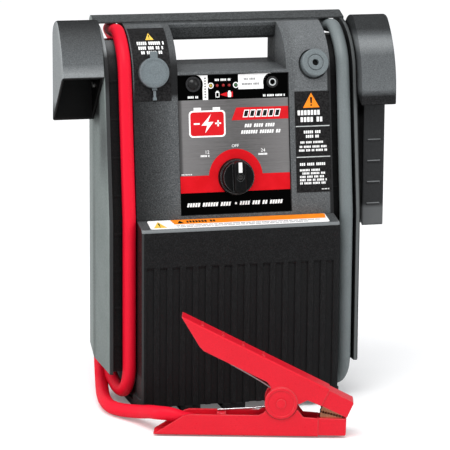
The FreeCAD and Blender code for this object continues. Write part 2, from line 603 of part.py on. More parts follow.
def cable(points):
    """round cable: circles square to the path, joined by straight-sided bands."""
    path = smooth(points)
    rings = []
    across = Vector(1, 0, 0)
    for i, centre in enumerate(path):
        along = path[min(i + 1, len(path) - 1)] - path[max(i - 1, 0)]
        along.normalize()
        # carry the seam direction on, so that the rings don't twist
        across = across - along * across.dot(along)
        across.normalize()
        circle = Part.Circle(centre, along, CABLE_R)
        circle.XAxis = across
        rings.append(Part.Wire([circle.toShape()]))
    return Part.makeLoft(rings, True, True).Solids[0]


def channel_run(x, depth, z0=408, z1=68, count=14):
    """points down a cable channel, depth behind the face."""
    heights = [z0 + (z1 - z0) * i / (count - 1) for i in range(count)]
    return [(x, front_y(z, depth), z) for z in heights]


def clamp_run(frame, stations):
    """(s, z) stations of a clamp as points in space."""
    return [tuple(frame.multiply(Vector(s, 0, z))) for s, z in stations]


# x, y, z: out of the rear outlet, up and over through the window into the channel
RED_TOP = [
    (-100, 30, 397), (-100, 40, 397), (-100, 52, 397.5), (-102, 68, 402), (-111, 78, 418),
    (-122, 68, 434), (-127.4, 48, 440.0), (-127.7, 24, 440.3), (-127.7, 7.1, 440.9),
    (-127.7, -5.35, 434.4), (-127.7, -17.4, 423.4)]
BLACK_TOP = [
    (100, 30, 397), (100, 40, 397), (100, 52, 397.5), (102, 68, 402), (111, 78, 418),
    (123, 68, 434), (132.0, 48, 440.0), (134.8, 24, 440.3), (136.0, 7.1, 440.9),
    (136.2, -5.35, 434.4), (136.2, -17.4, 423.4)]
# x, y, z: under the guard, up behind it, then round to the clamp
RED_LOOP = [
    (-127.8, -53.6, 48), (-128.6, -50.2, 35), (-129.4, -40, 23.5), (-130.2, -20, 17.5),
    (-130.2, 10, 18), (-130, 36, 25), (-127, 57, 44), (-121, 66, 84), (-119.5, 76, 122),
    (-124, 90, 142), (-132.5, 91, 138), (-137, 70, 112), (-138, 58, 80), (-138.5, 54.5, 44),
    (-141, 38, 19), (-146, 10, 10.5), (-149.5, -12, 8.6), (-152, -36, 8.4), (-151, -60, 8.4),
    (-144, -79, 9.2), (-135, -96, 11.5), (-126.5, -116, 15.5), (-121.5, -134, 20.0),
    (-116.0, -148.5, 22.5)]
BLACK_LOOP = [
    (136.0, -53.8, 48), (135.4, -50.4, 35), (134.0, -40, 23.5), (132.0, -20, 17.5),
    (131.0, 10, 18), (131.0, 38, 27), (132, 57, 55), (133, 63, 95), (136, 66, 132),
    (143, 67, 165), (154, 64, 188), (166, 52, 200), (173.5, 33, 205), (176, 12, 207.5),
    (176, -8, 212)]
# s, z inside the clamp
RED_END = [(-91, 20.8), (-76, 16.2), (-58, 12.6), (-38, 11.6), (-18, 11.4), (6, 11.4)]
BLACK_END = [(-93, 18.0), (-80, 13.2), (-62, 11.8), (-38, 11.6), (-18, 11.4), (6, 11.4)]

save("red_cable", cable(RED_TOP + channel_run(-127.7, 4.2) + RED_LOOP
                        + clamp_run(RED_CLAMP, RED_END)))
save("black_cable", cable(BLACK_TOP + channel_run(136.2, 4.0) + BLACK_LOOP
                          + clamp_run(BLACK_CLAMP, BLACK_END)))

grommets = []
for x, z in OUTLETS:
    grommet = cylinder((x, 41.2, z), (0, 1, 0), 14.0, 1.7)
    grommet = grommet.fuse(cylinder((x, 42.8, z), (0, 1, 0), 10.9, 3.4))
    grommet = grommet.fuse(cylinder((x, 46.1, z), (0, 1, 0), 14.0, 2.0))
    grommets.append(grommet.cut(cylinder((x, 35, z), (0, 1, 0), 8.6, 20)).removeSplitter())
save("cable_grommets", group(grommets))

# ---------------------------------------------------------------- clamp, in its own frame
HALF_W, LEVER_WALL = 13.5, 2.8
INNER_W = HALF_W - LEVER_WALL
PIVOT_S, PIVOT_Z = 34.8, 39.0
EAR_R = 18.6
PIN_R = 3.0
AXIS_ANGLE = math.radians(-13.1)    # slope of the centre line, which runs through the pivot
# s, z outline of the lower lever
LEVER = [(-110.0, 0.6), (-107.0, 0.0), (106.0, 0.0), (108.5, 3.0), (109.0, 20.9), (77.0, 21.4),
         (60.0, 22.6), (54.5, 30.0), (47.0, 36.0), (22.5, 36.0), (15.0, 27.0), (9.5, 24.2),
         (-70.0, 24.4), (-76.0, 22.4)]


def reflect(point):
    """mirror an (s, z) point of the lower lever about the centre line."""
    ds, dz = point[0] - PIVOT_S, point[1] - PIVOT_Z
    cos2, sin2 = math.cos(2 * AXIS_ANGLE), math.sin(2 * AXIS_ANGLE)
    return (PIVOT_S + cos2 * ds + sin2 * dz, PIVOT_Z + sin2 * ds - cos2 * dz)


def slab(points, y0, y1, upper=False):
    """(s, z) outline extruded through the width, reflected for the upper half."""
    if upper:
        points = [reflect(p) for p in points]
    corners = [Vector(s, y1, z) for s, z in points]
    return Part.Face(Part.makePolygon(corners + [corners[0]])).extrude(Vector(0, y0 - y1, 0))


def pivot_disc(radius, y0, y1):
    return cylinder((PIVOT_S, y0, PIVOT_Z), (0, 1, 0), radius, y1 - y0)


def lever(upper):
    body = slab(LEVER, -HALF_W, HALF_W, upper)
    body = fillet(body, 2.3, lambda e: e.Length > 200)
    # hollow of the channel, open towards the other lever
    body = body.cut(slab([(-112, LEVER_WALL), (76, LEVER_WALL), (76, 60), (-112, 60)],
                         -INNER_W, INNER_W, upper))
    nose_w = INNER_W - 1.2
    body = body.cut(slab([(78.5, 6.0), (104.5, 6.0), (104.5, 60), (78.5, 60)],
                         -nose_w, nose_w, upper))
    # notch in the wall between the two hollows
    body = body.cut(slab([(75.0, 11.2), (80.0, 11.2), (80.0, 60), (75.0, 60)], -6.2, 6.2, upper))
    # cross bar in the handle
    body = body.fuse(slab([(-38.0, 20.8), (-28.0, 20.8), (-28.0, 24.2), (-38.0, 24.2)],
                          -HALF_W + 1, HALF_W - 1, upper))
    # the jaw end is a little slimmer than the handle
    for side in (-1, 1):
        y0, y1 = span(side, HALF_W - 1.1, HALF_W + 1)
        body = body.cut(slab([(77.0, -5), (120, -5), (120, 50), (77.0, 50)], y0, y1, upper))
    body = body.cut(slab([(77.0, -5), (120, -5), (120, 1.4), (77.0, 1.4)], -30, 30, upper))
    # grip ribs
    for s in (-84, -58.0, -32.5, -7.0):
        rib_s, rib_z = reflect((s, 0.15)) if upper else (s, 0.15)
        body = body.fuse(cylinder((rib_s, -8.0, rib_z), (0, 1, 0), 1.5, 16.0))
    return body


def finish_lever(body):
    """bore the pin hole."""
    return largest(body.cut(pivot_disc(PIN_R + 0.06, -40, 40)).removeSplitter())


def upper_lever():
    """lever with the outer ears."""
    body = lever(True)
    for side in (-1, 1):
        body = body.fuse(pivot_disc(EAR_R, *span(side, INNER_W, HALF_W + 1.6)))
    return finish_lever(body)


def lower_lever():
    """lever cleared round the outer ears, with inner ears and webs that carry them."""
    body = cut(lever(False), pivot_disc(EAR_R + 0.7, -40, -INNER_W),
               pivot_disc(EAR_R + 0.7, INNER_W, 40))
    s_back, s_front = PIVOT_S - 20, PIVOT_S + 26
    ear_r = 14.5
    for side in (-1, 1):
        y0, y1 = span(side, INNER_W - 0.35, INNER_W - 3.1)
        stem = slab([(PIVOT_S - ear_r, PIVOT_Z), (s_back, 3.0), (s_back, 0.5), (s_front, 0.5),
                     (s_front, 12), (PIVOT_S + ear_r, PIVOT_Z)], y0, y1)
        body = body.fuse(pivot_disc(ear_r, y0, y1).fuse(stem))
        body = body.fuse(slab([(s_back, LEVER_WALL), (s_back, 0.2), (s_front, 0.2),
                               (s_front, LEVER_WALL)], *span(side, INNER_W + 0.5, INNER_W - 3.0)))
    return finish_lever(body)


def pivot_pin():
    pin = pivot_disc(PIN_R, -HALF_W - 1.55, HALF_W + 1.55)
    pin = pin.fuse(pivot_disc(5.5, -HALF_W - 3.4, -HALF_W - 1.65))
    pin = pin.fuse(pivot_disc(5.5, HALF_W + 1.65, HALF_W + 3.4))
    return pin.fuse(pivot_disc(PIN_R, -HALF_W - 2, HALF_W + 2)).removeSplitter()


def bent_wire(points, radius):
    """straight rods through the points, with a ball at the end of each."""
    wire = None
    for start, end in zip(points, points[1:]):
        start, end = Vector(*start), Vector(*end)
        run = end.sub(start)
        piece = Part.makeCylinder(radius, run.Length, start, run)
        wire = piece if wire is None else wire.fuse(piece)
        wire = wire.fuse(Part.makeSphere(radius, end))
    return wire


def torsion_spring(coil_r=7.2, wire_r=1.3):
    """coil round the pin, one leg on each lever."""
    path = [(PIVOT_S + 1.5, PIVOT_Z - coil_r), (PIVOT_S - 30, 28.6), (-36.0, 25.8)]
    offsets = (5.3, 4.6, 4.0)
    lower_leg = bent_wire([(s, y, z) for (s, z), y in zip(path, offsets)], wire_r)
    upper_leg = bent_wire([(s, -y, z) for (s, z), y in zip(map(reflect, path), offsets)], wire_r)
    rings = [Part.makeTorus(coil_r, wire_r, Vector(PIVOT_S, y, PIVOT_Z), Vector(0, 1, 0))
             for y in (5.3, 2.65, 0.0, -2.65, -5.3)]
    # a thin sleeve ties the rings together
    sleeve = pivot_disc(coil_r + 0.5, -5.4, 5.4).cut(pivot_disc(coil_r - 0.5, -6, 6))
    return largest(fuse(*rings, sleeve, lower_leg, upper_leg))


def jaw(upper, s_tip=104.2, s_root=79.2, teeth=8):
    """toothed insert whose tips stop just short of the centre line."""
    def bite(s, drop=0.0):
        return (s, PIVOT_Z + (s - PIVOT_S) * math.tan(AXIS_ANGLE) - 0.35 - drop)

    half_w = INNER_W - 1.4
    tooth_depth, pitch = 1.6, 25.0 / teeth
    points = [(s_root, 12.0), (s_tip, 12.0), bite(s_tip, tooth_depth)]
    for i in range(teeth):
        points.append(bite(s_tip - (i + 0.5) * pitch))
        if i < teeth - 1:
            points.append(bite(s_tip - (i + 1) * pitch, tooth_depth))
    points.append(bite(s_root, tooth_depth))
    hollow = [(81.0, 5), (102.6, 5), (102.6, 14.6), (81.0, 14.6)]
    return slab(points, -half_w, half_w, upper).cut(
        slab(hollow, -half_w + 2, half_w - 2, upper))


def cable_lug():
    lug = slab([(6.2, 4.0), (40.0, 4.0), (58.0, 6.0), (78.6, 12.2), (78.6, 17.2), (58.0, 18.6),
                (40.0, 14.5), (6.2, 14.5)], -5.6, 5.6)
    return fillet(lug, 2.0, lambda e: abs(edge_direction(e).y) < 0.1)


clamp_parts = {
    "upper_lever": upper_lever(), "lower_lever": lower_lever(), "pivot_pin": pivot_pin(),
    "spring": torsion_spring(), "upper_jaw": jaw(True), "lower_jaw": jaw(False),
    "cable_lug": cable_lug()}
for name, shape in clamp_parts.items():
    save("red_clamp_" + name, shape.copy().transformed(RED_CLAMP))
    save("black_clamp_" + name, shape.copy().transformed(BLACK_CLAMP))
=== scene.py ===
"""Portable jump starter with two clamp cables, finished for display.

The casing stands on z = 0 with its front towards -y; left is -x and right is +x. A control
panel is sunk in the tilted front, the cables run down open channels beside it. The black
clamp hangs in a holster on the right, the red clamp lies on the floor in front.
Shape tables and shader positions are in millimetres; meshes, bevel radii, lights and
the camera are in metres.
"""
import bpy, bmesh, math
import numpy as np
from mathutils import Vector, Matrix


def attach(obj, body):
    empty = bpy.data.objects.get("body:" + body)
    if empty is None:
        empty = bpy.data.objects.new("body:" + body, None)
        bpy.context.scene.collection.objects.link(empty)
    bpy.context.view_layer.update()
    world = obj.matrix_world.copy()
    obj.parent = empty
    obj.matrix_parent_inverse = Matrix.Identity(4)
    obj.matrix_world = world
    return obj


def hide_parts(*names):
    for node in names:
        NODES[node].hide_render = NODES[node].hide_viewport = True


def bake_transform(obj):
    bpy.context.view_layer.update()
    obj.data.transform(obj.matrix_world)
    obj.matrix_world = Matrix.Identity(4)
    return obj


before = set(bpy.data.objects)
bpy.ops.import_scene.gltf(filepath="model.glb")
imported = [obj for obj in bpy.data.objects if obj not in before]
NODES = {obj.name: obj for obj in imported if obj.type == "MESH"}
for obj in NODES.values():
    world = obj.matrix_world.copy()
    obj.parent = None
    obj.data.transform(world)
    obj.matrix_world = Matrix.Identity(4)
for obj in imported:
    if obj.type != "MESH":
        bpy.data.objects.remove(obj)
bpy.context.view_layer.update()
MM = 0.001

# Casing front in profile: upright to the knee, then tilted back, then an arc to the top.
FRONT_Y = -58.0
KNEE_Z = 226.5
TILT = math.radians(7.6)
ARC_Z = 392.0
ARC_RADIUS = 67.05
ARC_START_Y = FRONT_Y + (ARC_Z - KNEE_Z) * math.tan(TILT)
ARC_CENTER_Y = ARC_START_Y + ARC_RADIUS * math.cos(TILT)
ARC_CENTER_Z = ARC_Z - ARC_RADIUS * math.sin(TILT)

# Ledge on top of the bulge below the panel.
LEDGE_Y, LEDGE_Z = -84.0, 220.5
LEDGE_SLOPE = math.atan2(6.5, 26.0)


# ---------------------------------------------------------------- shader helpers
class Signal:
    """A shader output. Arithmetic and comparisons on it add Math nodes."""

    def __init__(self, tree, socket):
        self.tree = tree
        self.socket = socket

    def math(self, operation, *others):
        operands = dict(enumerate((self, *others)))
        return source(self.tree, "Math", 0, operands, operation=operation)

    def __mul__(self, other):
        return self.math("MULTIPLY", other)

    def __add__(self, other):
        return self.math("ADD", other)

    def __rsub__(self, number):
        return source(self.tree, "Math", 0, {0: number, 1: self}, operation="SUBTRACT")

    def __gt__(self, edge):
        return self.math("GREATER_THAN", edge)

    def __lt__(self, edge):
        return self.math("LESS_THAN", edge)

    def __abs__(self):
        return self.math("ABSOLUTE")

    def ramp(self, start, end, first=0.0, last=1.0):
        """Clamped: first where the signal is at start, last where it is at end."""
        return source(self.tree, "MapRange", 0, {
            "Value": self, "From Min": start, "From Max": end,
            "To Min": first, "To Max": last})


def set_inputs(node, inputs):
    """Link signals into a node's inputs and store plain values in them."""
    for key, value in inputs.items():
        socket = node.inputs[key]
        if isinstance(value, Signal):
            value.tree.links.new(value.socket, socket)
        elif socket.type == "RGBA":
            socket.default_value = (*value, 1.0)
        else:
            socket.default_value = value


def add_node(tree, kind, inputs, **settings):
    node = tree.nodes.new("ShaderNode" + kind)
    for key, value in settings.items():
        setattr(node, key, value)
    set_inputs(node, inputs)
    return node


def source(tree, kind, output, inputs={}, **settings):
    """Add a node and return one of its outputs."""
    return Signal(tree, add_node(tree, kind, inputs, **settings).outputs[output])


def new_material(name):
    material = bpy.data.materials.new(name)
    material.use_nodes = True
    tree = material.node_tree
    tree.nodes.clear()
    shader = add_node(tree, "BsdfPrincipled", {})
    add_node(tree, "OutputMaterial", {"Surface": Signal(tree, shader.outputs["BSDF"])})
    return material, tree, shader


def object_coords(tree):
    return source(tree, "TexCoord", "Object")


def stretched(coords, scale):
    return source(coords.tree, "Mapping", "Vector", {"Scale": scale, "Vector": coords})


def components(vector):
    split = add_node(vector.tree, "SeparateXYZ", {0: vector})
    return [Signal(vector.tree, split.outputs[axis]) for axis in "XYZ"]


def axes_mm(coords):
    return [part * 1000.0 for part in components(coords)]


def facing(tree):
    """The x, y and z parts of the surface normal."""
    return components(source(tree, "NewGeometry", "Normal"))


def distance(across, up):
    return (across * across + up * up).math("SQRT")


def noise(coords, scale, detail=2.0, rough=0.5):
    return source(coords.tree, "TexNoise", "Fac", {
        "Scale": scale, "Detail": detail, "Roughness": rough, "Vector": coords})


def mix(factor, first, second):
    """Color mix; factor 0 gives the first color."""
    tree = next(part.tree for part in (factor, first, second) if isinstance(part, Signal))
    return source(tree, "Mix", 2, {0: factor, 6: first, 7: second}, data_type="RGBA")


def bump_normal(height, strength, depth, normal=None):
    inputs = {"Strength": strength, "Distance": depth, "Height": height}
    if normal is not None:
        inputs["Normal"] = normal
    return source(height.tree, "Bump", "Normal", inputs)


def speckle(tree, dark, light, scale=980.0, low=0.43, high=0.68):
    """Moulded spark texture: small light grains on a darker ground."""
    grains = noise(object_coords(tree), scale, detail=2.5, rough=0.72)
    return mix(grains.ramp(low, high), dark, light)


def dress(pieces, material):
    """Give the material to CAD pieces, named in one string with spaces between."""
    for piece in pieces.split():
        slots = NODES[piece].data.materials
        slots.clear()
        slots.append(material)


def finish(name, color, rough=0.5, metal=0.0, second=None, mottle=40.0,
           fine=0.0, fine_scale=900.0, bump=0.0, bump_scale=1100.0,
           edge_wear_and_highlight=0.0, edge_wear_and_highlight_color=None, bevel=0.0, specular=0.5, coat=0.0,
           coat_rough=0.15, stretch=None, rough_var=0.08, sheen=0.0,
           subsurface=0.0, ao=0.0, zones=None, pieces=""):
    """Make a surface material and put it on the named pieces.

    mottle is the scale of the blotches between second and color, fine the contrast of
    the small grain, the edge setting the lightening of edges, partly real wear and partly
    a painted highlight (it needs a bevel), rough_var the spread of roughness, ao the reach
    of the painted shade in corners, and zones a function that repaints parts of the piece
    with painted light and shade.
    """
    material, tree, shader = new_material(name)
    coords = object_coords(tree)
    if stretch:
        coords = stretched(coords, stretch)

    blotches = noise(coords, mottle, detail=3.0, rough=0.55)
    tint = mix(blotches.ramp(0.35, 0.65), second or tuple(c * 0.78 for c in color), color)
    if fine > 0:
        grains = noise(coords, fine_scale, detail=1.5, rough=0.6)
        light = tuple(min(1.0, c * (1 + fine * 3.0) + 0.02 * fine) for c in color)
        dark = tuple(c * (1 - 0.55 * fine) for c in color)
        tint = mix(0.6, tint, mix(grains.ramp(0.38, 0.66), dark, light))

    normal = None
    if bevel > 0:
        normal = source(tree, "Bevel", "Normal", {"Radius": bevel}, samples=4)
    if edge_wear_and_highlight > 0:
        # The rounded normal leaves the true one only at edges; noise breaks up the lightened
        # edges, which are partly wear and partly a painted highlight.
        flat = source(tree, "NewGeometry", "Normal")
        match = source(tree, "VectorMath", "Value", {0: normal, 1: flat},
                       operation="DOT_PRODUCT")
        patches = noise(coords, 160.0, detail=3.0, rough=0.6).ramp(0.3, 0.6, 0.35, 1.0)
        edge_wear_and_highlight_tint = edge_wear_and_highlight_color or tuple(min(1.0, c * 2.2 + 0.05) for c in color)
        tint = mix(match.ramp(0.995, 0.85) * patches * edge_wear_and_highlight, tint, edge_wear_and_highlight_tint)
    if zones:
        tint = zones(tint)
    # Painted shade: ambient occlusion darkens corners and recesses towards near black.
    if ao > 0:
        openness = source(tree, "AmbientOcclusion", "AO", {"Distance": ao}, samples=4)
        corner_shade = mix(0.88, tint, (0.0015, 0.0015, 0.0017))
        tint = mix(openness.ramp(0.15, 0.8), corner_shade, tint)

    gloss = noise(coords, fine_scale * 0.6, detail=2.0, rough=0.6)
    set_inputs(shader, {
        "Base Color": tint,
        "Roughness": gloss.ramp(0.3, 0.7, max(0.02, rough - rough_var),
                                min(1.0, rough + rough_var)),
        "Metallic": metal,
        "Specular IOR Level": specular,
        "Coat Weight": coat,
        "Coat Roughness": coat_rough,
        "Sheen Weight": sheen,
        "Subsurface Weight": subsurface,
        "Subsurface Radius": (0.002, 0.001, 0.001)})
    if bump > 0:
        height = noise(coords, bump_scale, detail=2.0, rough=0.65)
        normal = bump_normal(height, bump, 0.0003, normal)
    if normal:
        set_inputs(shader, {"Normal": normal})
    dress(pieces, material)
    return material


# ---------------------------------------------------------------- zones of the mouldings
def casing_zones(tint):
    """Painted light and shade by face over the sparked mould texture: lit columns, a bulge in
    painted shade, lit and shaded side walls.
    """
    tree = tint.tree
    x, y, z = axes_mm(object_coords(tree))
    side = abs(x)
    normal_x, normal_y, normal_z = facing(tree)

    # Columns beside the panel in painted light: lighter inward, on the right and towards the
    # top.
    dark = speckle(tree, (0.022, 0.024, 0.025), (0.105, 0.112, 0.115))
    light = speckle(tree, (0.085, 0.092, 0.096), (0.205, 0.215, 0.220))
    inward = side.ramp(70.0, 117.0, 1.0, 0.0)
    right = x.ramp(60.0, 80.0) * z.ramp(230.0, 400.0, 0.55, 1.0)
    high = z.ramp(330.0, 420.0) * side.ramp(60.0, 118.0, 0.75, 0.35)
    column = mix((inward * 0.62).math("MAXIMUM", right).math("MAXIMUM", high), dark, light)
    # Painted shade on the left column below its top, strongest towards its outer side.
    left_column_shade = speckle(tree, (0.0065, 0.007, 0.0075), (0.036, 0.038, 0.039))
    left = (x < 0.0) * side.ramp(74.0, 116.0, 0.18, 1.0) * z.ramp(366.0, 386.0, 1.0, 0.0)
    column = mix(left, column, left_column_shade)
    # Dark upright strip at the panel's top left, and a dark outer edge on the right.
    strip = ((x < -66.0) * (x > -74.8)) * (
        z.ramp(366.0, 372.0) * z.ramp(404.0, 424.0, 1.0, 0.35))
    column = mix(strip * 0.94, column, (0.005, 0.005, 0.0055))
    outer = x.ramp(114.6, 116.2, 0.0, 0.9) * z.ramp(396.0, 410.0, 1.0, 0.0)
    column = mix(outer, column, (0.006, 0.006, 0.0065))
    tint = mix((z > 227.3) * (side < 119.35) * (y < 14.0), tint, column)

    # Bulge in painted shade, with painted light on the ledge on top and on its left side, and a
    # painted highlight on its rounded upper edge.
    bulge = speckle(tree, (0.0045, 0.0045, 0.005), (0.018, 0.019, 0.0195),
                    scale=900.0, low=0.46, high=0.68)
    in_bulge = (y < -57.9) * (side < 122.7) * (z < 227.3)
    ledge = speckle(tree, (0.045, 0.048, 0.050), (0.125, 0.132, 0.135))
    tint = mix(in_bulge, tint, mix(normal_z > 0.5, bulge, ledge))
    tint = mix(in_bulge * (normal_x < -0.25) * 0.9, tint, (0.038, 0.040, 0.041))
    upper_edge_highlight = in_bulge * ((normal_z > 0.18) * (normal_z < 0.93))
    tint = mix(upper_edge_highlight * 0.75, tint, (0.20, 0.215, 0.22))

    # Cable channels: painted shade makes them black; a painted highlight lightens the left
    # one's top and painted light the right one's outer side.
    in_channel = (side > 119.4) * (side < 147.75) * (z > 46.3)
    channel = speckle(tree, (0.006, 0.006, 0.0065), (0.026, 0.027, 0.028),
                      scale=900.0, low=0.46, high=0.70)
    channel = mix((x < -133.0) * z.ramp(415.0, 427.0), channel, (0.25, 0.265, 0.27))
    channel = mix(x.ramp(140.5, 144.0, 0.0, 0.85), channel, (0.085, 0.090, 0.092))
    tint = mix(in_channel * (y < 19.0), tint, channel)

    # Front edges of the guards outside the channels, in painted light and shade: on the left a
    # dark grey turning darker higher up and ending in a painted highlight at the top, on the
    # right a lit strip beside the channel and painted shadow further out.
    guard_front = (side > 147.75) * (y < 18.0) * (normal_y < -0.35)
    left_guard_light = mix(z.ramp(372.0, 386.0), (0.032, 0.034, 0.035), (0.012, 0.012, 0.013))
    left_guard_light = mix(z.ramp(415.0, 424.0), left_guard_light, (0.27, 0.285, 0.29))
    right_guard_light = mix(x.ramp(150.6, 152.0), (0.115, 0.125, 0.125), (0.020, 0.021, 0.022))
    tint = mix(guard_front * 0.92, tint, mix(x > 0.0, left_guard_light, right_guard_light))

    # Side walls in painted light and shade: plain dark on the right; on the left a lit,
    # mottled grey, paler at the back, with a band of painted shade low down, a patch of painted
    # shade at the front above it and the holster's painted shadow at the top.
    side_wall = (side > 152.0) * (abs(normal_x) > 0.6)
    clouds = noise(object_coords(tree), 26.0, detail=3.0, rough=0.6)
    wall = mix(clouds.ramp(0.3, 0.7), (0.155, 0.180, 0.172), (0.180, 0.205, 0.198))
    wall = mix(y.ramp(24.0, 34.0), wall, (0.225, 0.250, 0.242))
    low_shade_band = y.ramp(10.0, 17.0) * y.ramp(24.0, 30.0, 1.0, 0.0) * z.ramp(200.0, 340.0, 0.55, 0.0)
    wall = mix(low_shade_band, wall, (0.100, 0.112, 0.108))
    front_shade_patch = y.ramp(-4.0, -22.0, 0.0, 0.70) * (
        z.ramp(262.0, 305.0) * z.ramp(325.0, 378.0, 1.0, 0.0))
    wall = mix(front_shade_patch, wall, (0.055, 0.060, 0.060))
    # Painted shadow of the holster over the top of the left wall.
    black = y.ramp(-16.0, -6.0) * y.ramp(23.0, 33.0, 1.0, 0.0) * z.ramp(330.0, 346.0, 0.0, 0.93)
    wall = mix(black, wall, (0.006, 0.006, 0.006))
    return mix(side_wall, tint, mix(x > 0.0, wall, (0.030, 0.032, 0.033)))


def holster_zones(tint):
    """Satin moulding in painted light and shade: lit grey outside, painted shade over the
    shoulder, black painted shade inside; covers the whole tint.
    """
    tree = tint.tree
    x, y, z = axes_mm(object_coords(tree))
    normal_x, normal_y, normal_z = facing(tree)

    def from_axis(center_y, center_z):
        return distance(y + -center_y, z + -center_z)

    def texture(dark, light, low, high):
        return speckle(tree, dark, light, scale=900.0, low=low, high=high)

    grey = texture((0.085, 0.093, 0.097), (0.150, 0.160, 0.165), 0.38, 0.66)
    dark = texture((0.012, 0.013, 0.0135), (0.034, 0.036, 0.037), 0.42, 0.68)
    pale = texture((0.190, 0.202, 0.206), (0.270, 0.284, 0.288), 0.38, 0.66)
    lip = texture((0.007, 0.007, 0.0075), (0.030, 0.031, 0.032), 0.44, 0.70)

    # Right: painted shade below, a lit grey wall, a painted highlight band, painted shade on
    # the shoulder, black painted shade inside the bowl.
    right = mix(z.ramp(364.0, 372.0) * z.ramp(372.0, 400.0, 1.0, 0.78), lip, grey)
    band = z.ramp(412.0, 423.0, 0.0, 0.72) * z.ramp(428.0, 436.0, 1.0, 0.0)
    right = mix(band, right, pale)
    right = mix(z.ramp(433.0, 441.0, 0.0, 0.92), right, dark)
    inside = ((from_axis(60.8, 368.0) < 114.4) * (x < 195.2)) * ((x > 154.6) * (y < 19.6))
    right = mix(inside, right, (0.002, 0.002, 0.002))

    # Left: a lit pale wall under a shoulder in painted shade, painted shade on the foot and
    # rim, black painted shade inside the bowl and on its inner front.
    left = mix(z.ramp(412.0, 450.0, 0.80, 0.0), dark, grey)
    left = mix(z.ramp(409.0, 398.0, 0.0, 0.95), left, pale)
    left = mix((normal_x < -0.6) * z.ramp(346.0, 362.0), left, pale)
    left = mix((normal_x < -0.6) * z.ramp(362.0, 346.0), left, dark)
    rim = (normal_z < -0.3) * (normal_y < 0.5)
    left = mix(rim * 0.9, left, (0.012, 0.012, 0.013))
    inside = ((from_axis(55.9, 386.0) < 91.5) * (x > -201.2)) * ((x < -154.6) * (y < 19.6))
    left = mix(inside, left, (0.0015, 0.0015, 0.0015))
    inner_front = ((z < 386.0) * (y > -35.6)) * ((x > -201.2) * (normal_y < -0.2))
    left = mix(inner_front, left, (0.004, 0.004, 0.004))
    return mix(x > 0.0, left, right)


def grip_zones(tint):
    """Painted shade on the left and under faces, painted light on the top faces, and a lighter
    lower handle end.
    """
    tree = tint.tree
    z = axes_mm(object_coords(tree))[2]
    tint = mix(facing(tree)[0] < -0.75, tint, (0.0045, 0.0045, 0.005))
    normal_z = facing(tree)[2]
    tint = mix(normal_z > 0.5, tint, (0.17, 0.178, 0.18))
    tint = mix(normal_z < -0.5, tint, (0.0025, 0.0025, 0.003))
    return mix(z.ramp(232.0, 226.0), tint, (0.105, 0.110, 0.112))


# ---------------------------------------------------------------- materials
finish("casing_textured_plastic", (0.036, 0.039, 0.040), second=(0.028, 0.030, 0.031),
       mottle=14.0, fine=0.55, fine_scale=620.0, bump=0.5, bump_scale=800.0, bevel=0.0012,
       specular=0.22, rough_var=0.10, ao=0.035, zones=casing_zones,
       pieces="front_shell rear_shell")
finish("holster_textured_plastic", (0.034, 0.037, 0.038), rough=0.46, fine_scale=700.0,
       bump=0.35, bump_scale=900.0, bevel=0.0016, specular=0.18, ao=0.05,
       zones=holster_zones, pieces="holster_left holster_right")
finish("foot_rubber", (0.018, 0.018, 0.018), rough=0.75, fine=0.3, bump=0.5,
       bump_scale=500.0, bevel=0.001, specular=0.15, pieces="foot_pads")
finish("zinc_plated_steel", (0.55, 0.56, 0.57), rough=0.32, metal=1.0,
       second=(0.42, 0.43, 0.40), mottle=260.0, bump=0.15, bump_scale=600.0, bevel=0.0004,
       pieces="casing_screws holster_screws switch_nuts jack_nut")
panel_plastic = finish(
    "panel_frame_plastic", (0.02, 0.02, 0.021), rough=0.45, fine=0.3, bump=0.25,
    bevel=0.0008, specular=0.15, pieces="panel_plate button_bezel")
# The knob's lightened edges are a painted highlight.
finish("knob_plastic", (0.0028, 0.0028, 0.003), rough=0.36, fine=0.25, bump=0.18,
       bump_scale=900.0, edge_wear_and_highlight=0.85, edge_wear_and_highlight_color=(0.20, 0.21, 0.215), bevel=0.0009,
       specular=0.11, pieces="selector_knob")
finish("white_paint_fill", (0.86, 0.86, 0.84), rough=0.4, second=(0.78, 0.78, 0.76),
       mottle=200.0, bump=0.1, pieces="knob_pointer")
phenolic = finish(
    "moulded_phenolic", (0.022, 0.021, 0.020), rough=0.42, fine=0.3, bump=0.25,
    bevel=0.0008, specular=0.2, pieces="knob_screw selector_switch_body status_switch "
    "charging_jack buzzer_driver")
finish("machined_brass", (0.72, 0.50, 0.22), rough=0.28, metal=1.0,
       second=(0.60, 0.40, 0.18), mottle=120.0, stretch=(1, 1, 14), bump=0.12, bevel=0.0004,
       pieces="selector_shaft switch_studs outlet_contact battery_link")
finish("circuit_board_laminate", (0.02, 0.16, 0.06), rough=0.38,
       second=(0.012, 0.11, 0.045), mottle=60.0, fine=0.2, coat=0.4,
       pieces="indicator_board")
finish("battery_case_plastic", (0.045, 0.048, 0.052), rough=0.45, fine=0.3, bump=0.3,
       bevel=0.0012, specular=0.3, pieces="battery_front battery_rear")
finish("lead_alloy_posts", (0.42, 0.42, 0.41), metal=1.0, mottle=90.0, bump=0.3,
       bevel=0.0005, pieces="battery_terminals")
finish("closed_cell_foam", (0.10, 0.10, 0.11), rough=0.95, mottle=300.0, fine=0.5,
       fine_scale=450.0, bump=1.0, bump_scale=420.0, sheen=0.3, pieces="battery_foam")
finish("tray_plastic", (0.03, 0.03, 0.031), fine=0.25, bump=0.3, bevel=0.001,
       specular=0.2, pieces="battery_tray battery_clamp_plate")
finish("fuse_body_resin", (0.30, 0.27, 0.18), rough=0.45, mottle=120.0, bump=0.2,
       bevel=0.0008, pieces="main_fuse")
